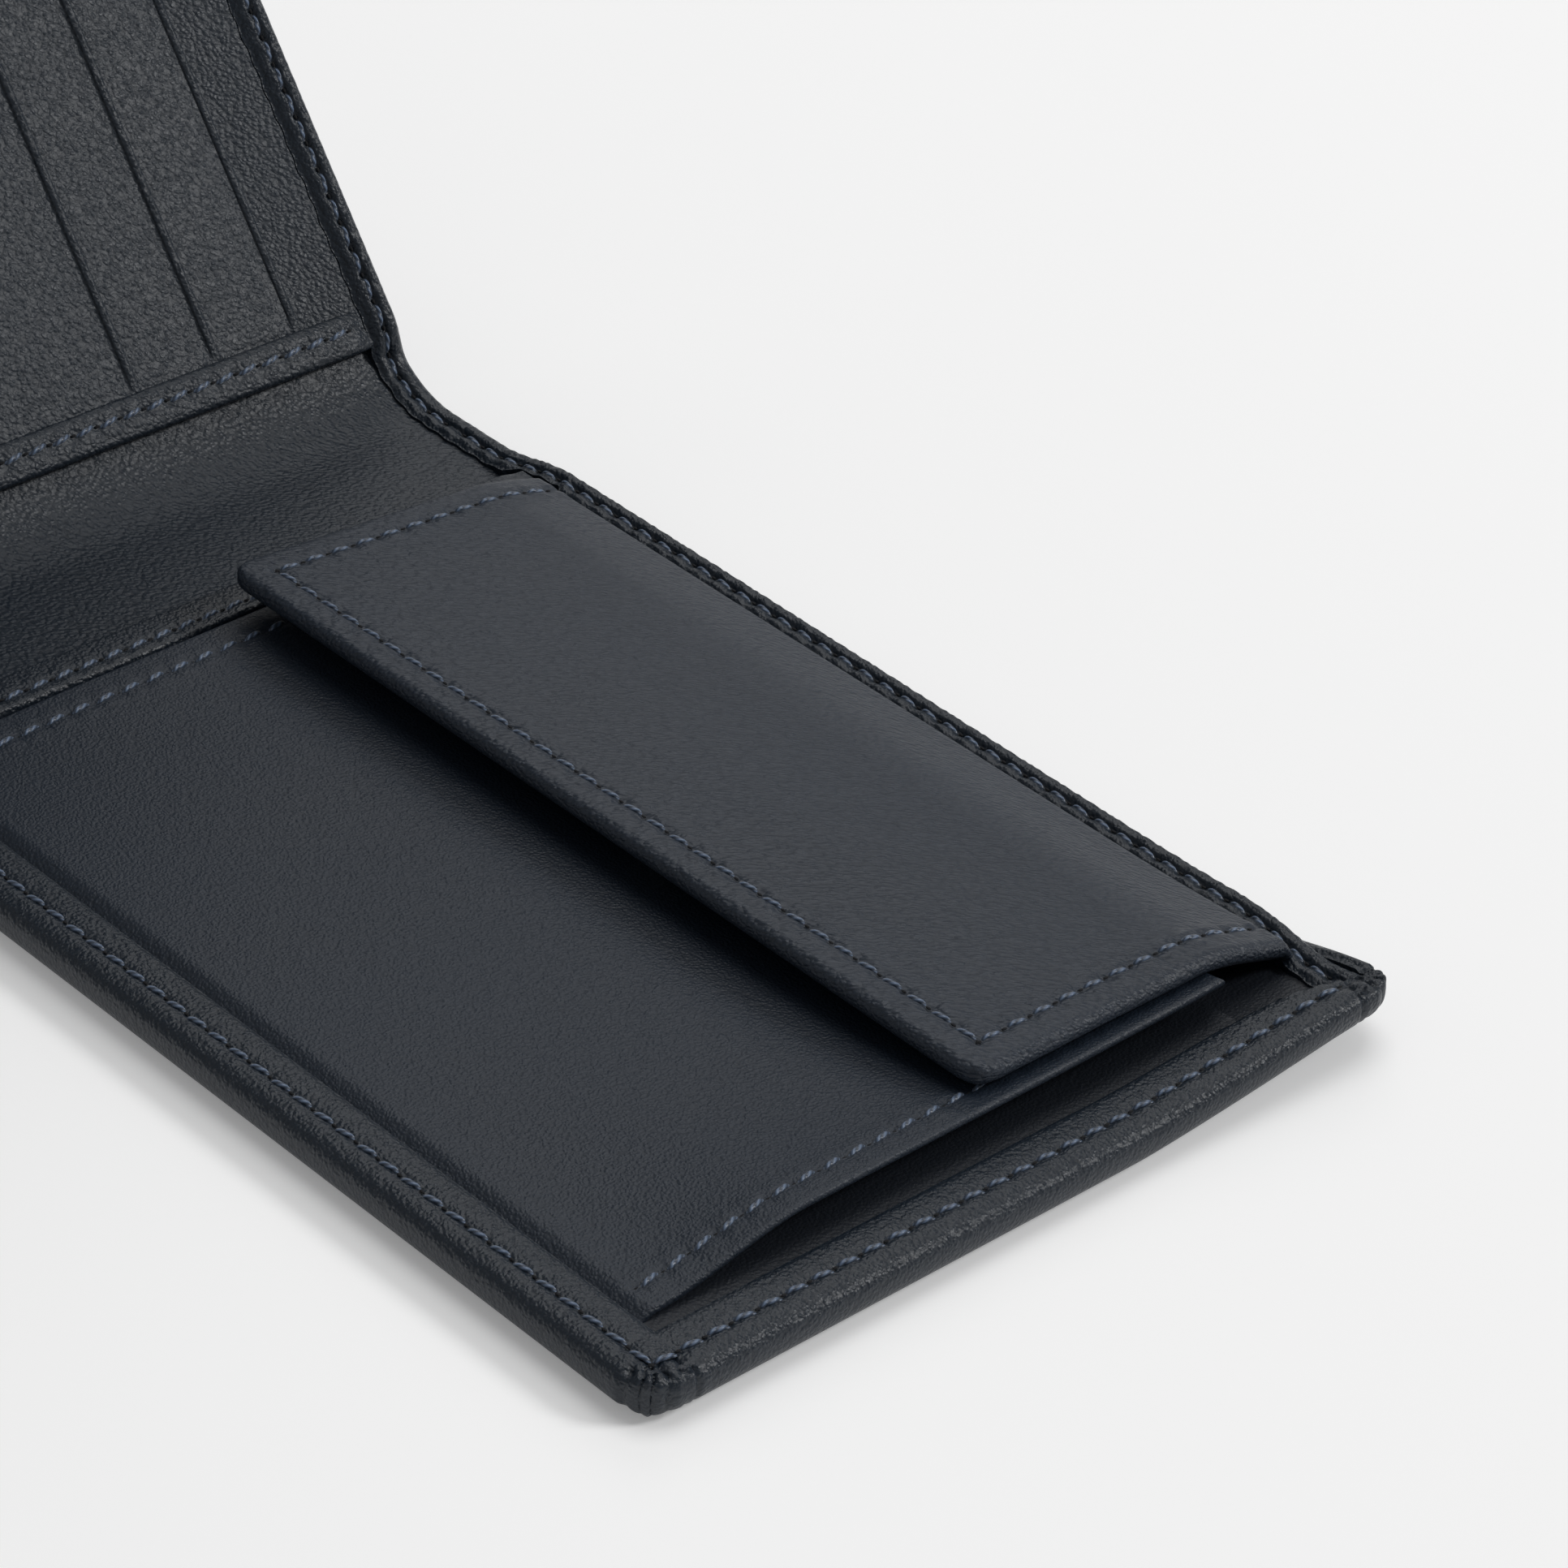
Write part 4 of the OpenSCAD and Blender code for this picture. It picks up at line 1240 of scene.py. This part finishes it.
near_start = OUTER_END + SEAM_INSET
near_end = WING_END - SEAM_INSET
near_nodes = {"coin": ("coin_leaf_border_thread", "spine_thread"),
              "spine": ("spine_thread", "card_leaf_border_thread"),
              "card": ("card_leaf_border_thread",), "wing": ("wing_border_thread",)}
for key, ((low, high), _, _, _) in LENGTHS.items():
    start, run = whole(max(low, near_start) - near_start, min(high, near_end) - near_start)
    sew(f"{key}_border_seam", near_path(near_start + start), run, PITCH,
        lambda piece, key=key: over_fold(piece, key, "thread", *near_nodes[key]))

hem_lengths = {"coin": (hem_low + 1, SPINE_CUT, ("coin_leaf_top_thread", "spine_thread")),
               "spine": (SPINE_CUT, CARD_CUT, ("spine_thread", "card_leaf_border_thread"))}
for key, (low, high, nodes) in hem_lengths.items():
    start, run = whole(low, high)
    sew(f"{key}_hem_seam", hem_path(start), run, PITCH,
        lambda piece, key=key, nodes=nodes: over_fold(piece, key, "thread", *nodes), lean=-SLANT)
start, run = whole(CARD_CUT, FOLD_S[2] - 3)
sew("card_hem_seam", hem_path(start), run, PITCH,
    lambda piece: rides(piece, "card_leaf", "thread", "card_leaf_border_thread"), lean=-SLANT)


# %% Seams across the leaves
def on_body(body, node):
    """Attaches a seam to one body"""
    return lambda piece: rides(piece, body, "thread", node)


def outer_path(t, height):
    """The border's seam up the coin leaf's outer edge"""
    y = SEAM_INSET + t
    return place(near_start, y, outer_end_top(y) - THREAD_SINK + height)


sew("coin_outer_seam", outer_path, LEAF_H - 2 * SEAM_INSET - 1, PITCH,
    on_body("coin_leaf", "coin_leaf_border_thread"), lean=-SLANT)


def cross_path(s, y_start, top):
    """A seam straight up a leaf at one place along it"""
    def path(t, height):
        y = y_start + t
        level = top(s, y) if callable(top) else top
        return place(s, y, level + height)
    return path


def on_front(s, y):
    """Just above the pocket front"""
    return front_top(s, y) + 0.05


sew("flange_seam", cross_path(float(coin_s(FLANGE_SEAM)), 2 * PITCH, FLANGE_TOP - THREAD_SINK), 82.0, PITCH,
    on_body("coin_leaf", "coin_gusset_thread"))
for side, x in zip(("spine_side", "outer_side"), FRONT_SEAMS):
    sew(f"pocket_front_{side}_seam", cross_path(float(coin_s(x)), 3 * PITCH, on_front), 69.0, PITCH,
        on_body("coin_pocket_front", "coin_pocket_front_thread"))
for side, u in zip(("spine_side", "wing_side"), CARD_SEAMS):
    sew(f"card_panel_{side}_seam", cross_path(float(card_s(u)), 2 * PITCH, card_level + 0.18), 83.5, PITCH,
        on_body("card_leaf", "card_panel_thread"))
sew("wing_panel_seam", cross_path(float(wing_s(WING_SEAM)), 2 * PITCH, WING_BACK_TOP + 1.13), 81.0, PITCH,
    on_body("wing", "wing_panel_thread"))
sew("wing_outer_seam", cross_path(near_end, SEAM_INSET, WING_T - THREAD_SINK), LEAF_H - 2 * SEAM_INSET,
    PITCH, on_body("wing", "wing_border_thread"))


def wing_top_path(t, height):
    """The border's seam along the wing's top edge"""
    s = near_end - t
    return place(s, LEAF_H - SEAM_INSET, border_height(s) - THREAD_SINK + height)


sew("wing_top_seam", wing_top_path, WING_LEN - 6, PITCH, on_body("wing", "wing_border_thread"))


# %% Seam of the flap
def flap_attach(piece):
    """Bakes the flap's seam in place and hides the CAD thread it stands for"""
    return on_flap(piece, "thread", "coin_flap_thread")


def flap_side_path(x):
    """A seam from the free edge back to the hinge"""
    def path(t, height):
        y = FLAP_Y0 + FLAP_SEAM + t
        return place(coin_s(x), y, flap_crown(coin_s(x), y) - FLAP_THREAD_SINK + height)
    return path


def flap_free_path(t, height):
    """The seam along the free edge"""
    x = FLAP_X0 + FLAP_SEAM + t
    y = np.full(np.shape(x), FLAP_Y0 + FLAP_SEAM)
    return place(coin_s(x), y, flap_crown(coin_s(x), y) - FLAP_THREAD_SINK + height)


sew("flap_free_seam", flap_free_path, FLAP_X1 - FLAP_X0 - 2 * FLAP_SEAM, FLAP_PITCH, flap_attach)
sew("flap_spine_side_seam", flap_side_path(FLAP_X0 + FLAP_SEAM), 36.5, FLAP_PITCH, flap_attach, lean=-SLANT)
sew("flap_outer_side_seam", flap_side_path(FLAP_X1 - FLAP_SEAM), 36.5, FLAP_PITCH, flap_attach, lean=-SLANT)
for shape in (stitch_shape, hole_shape):
    bpy.data.objects.remove(shape)

# %% [markdown]
# ## The snap
#
# The snap's parts are turned steel, and their CAD shapes are right, so they keep them and only get
# the steel finish.

# %% Steel finish
for node in ("snap_stud", "snap_stud_post", "snap_socket", "snap_cap"):
    part = frame["nodes"][node]
    part.data.materials.clear()
    part.data.materials.append(snap_steel)

# %% [markdown]
# ## Stage, light and camera
#
# A plain pale floor, a key light from the right, a large soft light overhead, a weak one from behind,
# and an even pale room. The camera looks down over the coin leaf's outer corner with a long lens.

# %% Floor
FLOOR_Z = -0.0004
deselect()
bpy.ops.mesh.primitive_plane_add(size=8.0, location=(0, 0, FLOOR_Z))
floor = bpy.context.object
floor.name = "floor"
paper = Shader("paper")
paper.set(Base_Color=(0.92, 0.92, 0.92, 1.0), Roughness=0.95, Specular_IOR_Level=0.1,
          Emission_Color=(1.0, 1.0, 1.0, 1.0), Emission_Strength=0.20)
floor.data.materials.append(paper.material)
floor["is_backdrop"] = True


# %% Lights
def soft_light(name, location, size, power):
    """A square studio light, aimed at the middle of the stage"""
    data = bpy.data.lights.new(name, "AREA")
    data.size = size
    data.energy = power
    obj = bpy.data.objects.new(name, data)
    obj.location = location
    obj.rotation_euler = (-Vector(location)).to_track_quat("-Z", "Y").to_euler()
    bpy.context.collection.objects.link(obj)


soft_light("key", (1.8, 2.1, 2.1), 0.8, 46.0)
soft_light("overhead", (-0.6, 0.8, 3.2), 2.2, 34.0)
soft_light("back_left", (-2.2, 2.2, 2.0), 1.6, 10.0)
world = bpy.data.worlds.new("room")
world.use_nodes = True
sky = world.node_tree.nodes["Background"]
sky.inputs["Color"].default_value = (1.0, 1.0, 1.0, 1.0)
sky.inputs["Strength"].default_value = 0.22
bpy.context.scene.world = world
bpy.context.scene.view_settings.view_transform = "Standard"

# %% Camera
CAMERA_AT = Vector((0.3506, -0.3231, 0.3341))
LOOK = Vector((-0.59021, 0.58593, -0.55528)).normalized()
ROLL = math.radians(4.10)
FOCAL_MM = 139.75
lens = bpy.data.cameras.new("camera")
lens.sensor_width = 36.0
lens.lens = FOCAL_MM
lens.clip_start = 0.01
lens.clip_end = 20.0
camera = bpy.data.objects.new("camera", lens)
level_right = LOOK.cross(Vector((0, 0, 1))).normalized()
level_up = level_right.cross(LOOK)
right = level_right * math.cos(ROLL) + level_up * math.sin(ROLL)
up = level_up * math.cos(ROLL) - level_right * math.sin(ROLL)
camera.matrix_world = Matrix.Translation(CAMERA_AT) @ Matrix((right, up, -LOOK)).transposed().to_4x4()
bpy.context.collection.objects.link(camera)
bpy.context.scene.camera = camera

# %% Sizes and finish
low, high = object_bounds()
{"cad": [list(cad_low), list(cad_high)], "visual": [list(low), list(high)]}
print("visual box, metres:", [round(x, 4) for x in (*low, *high)])
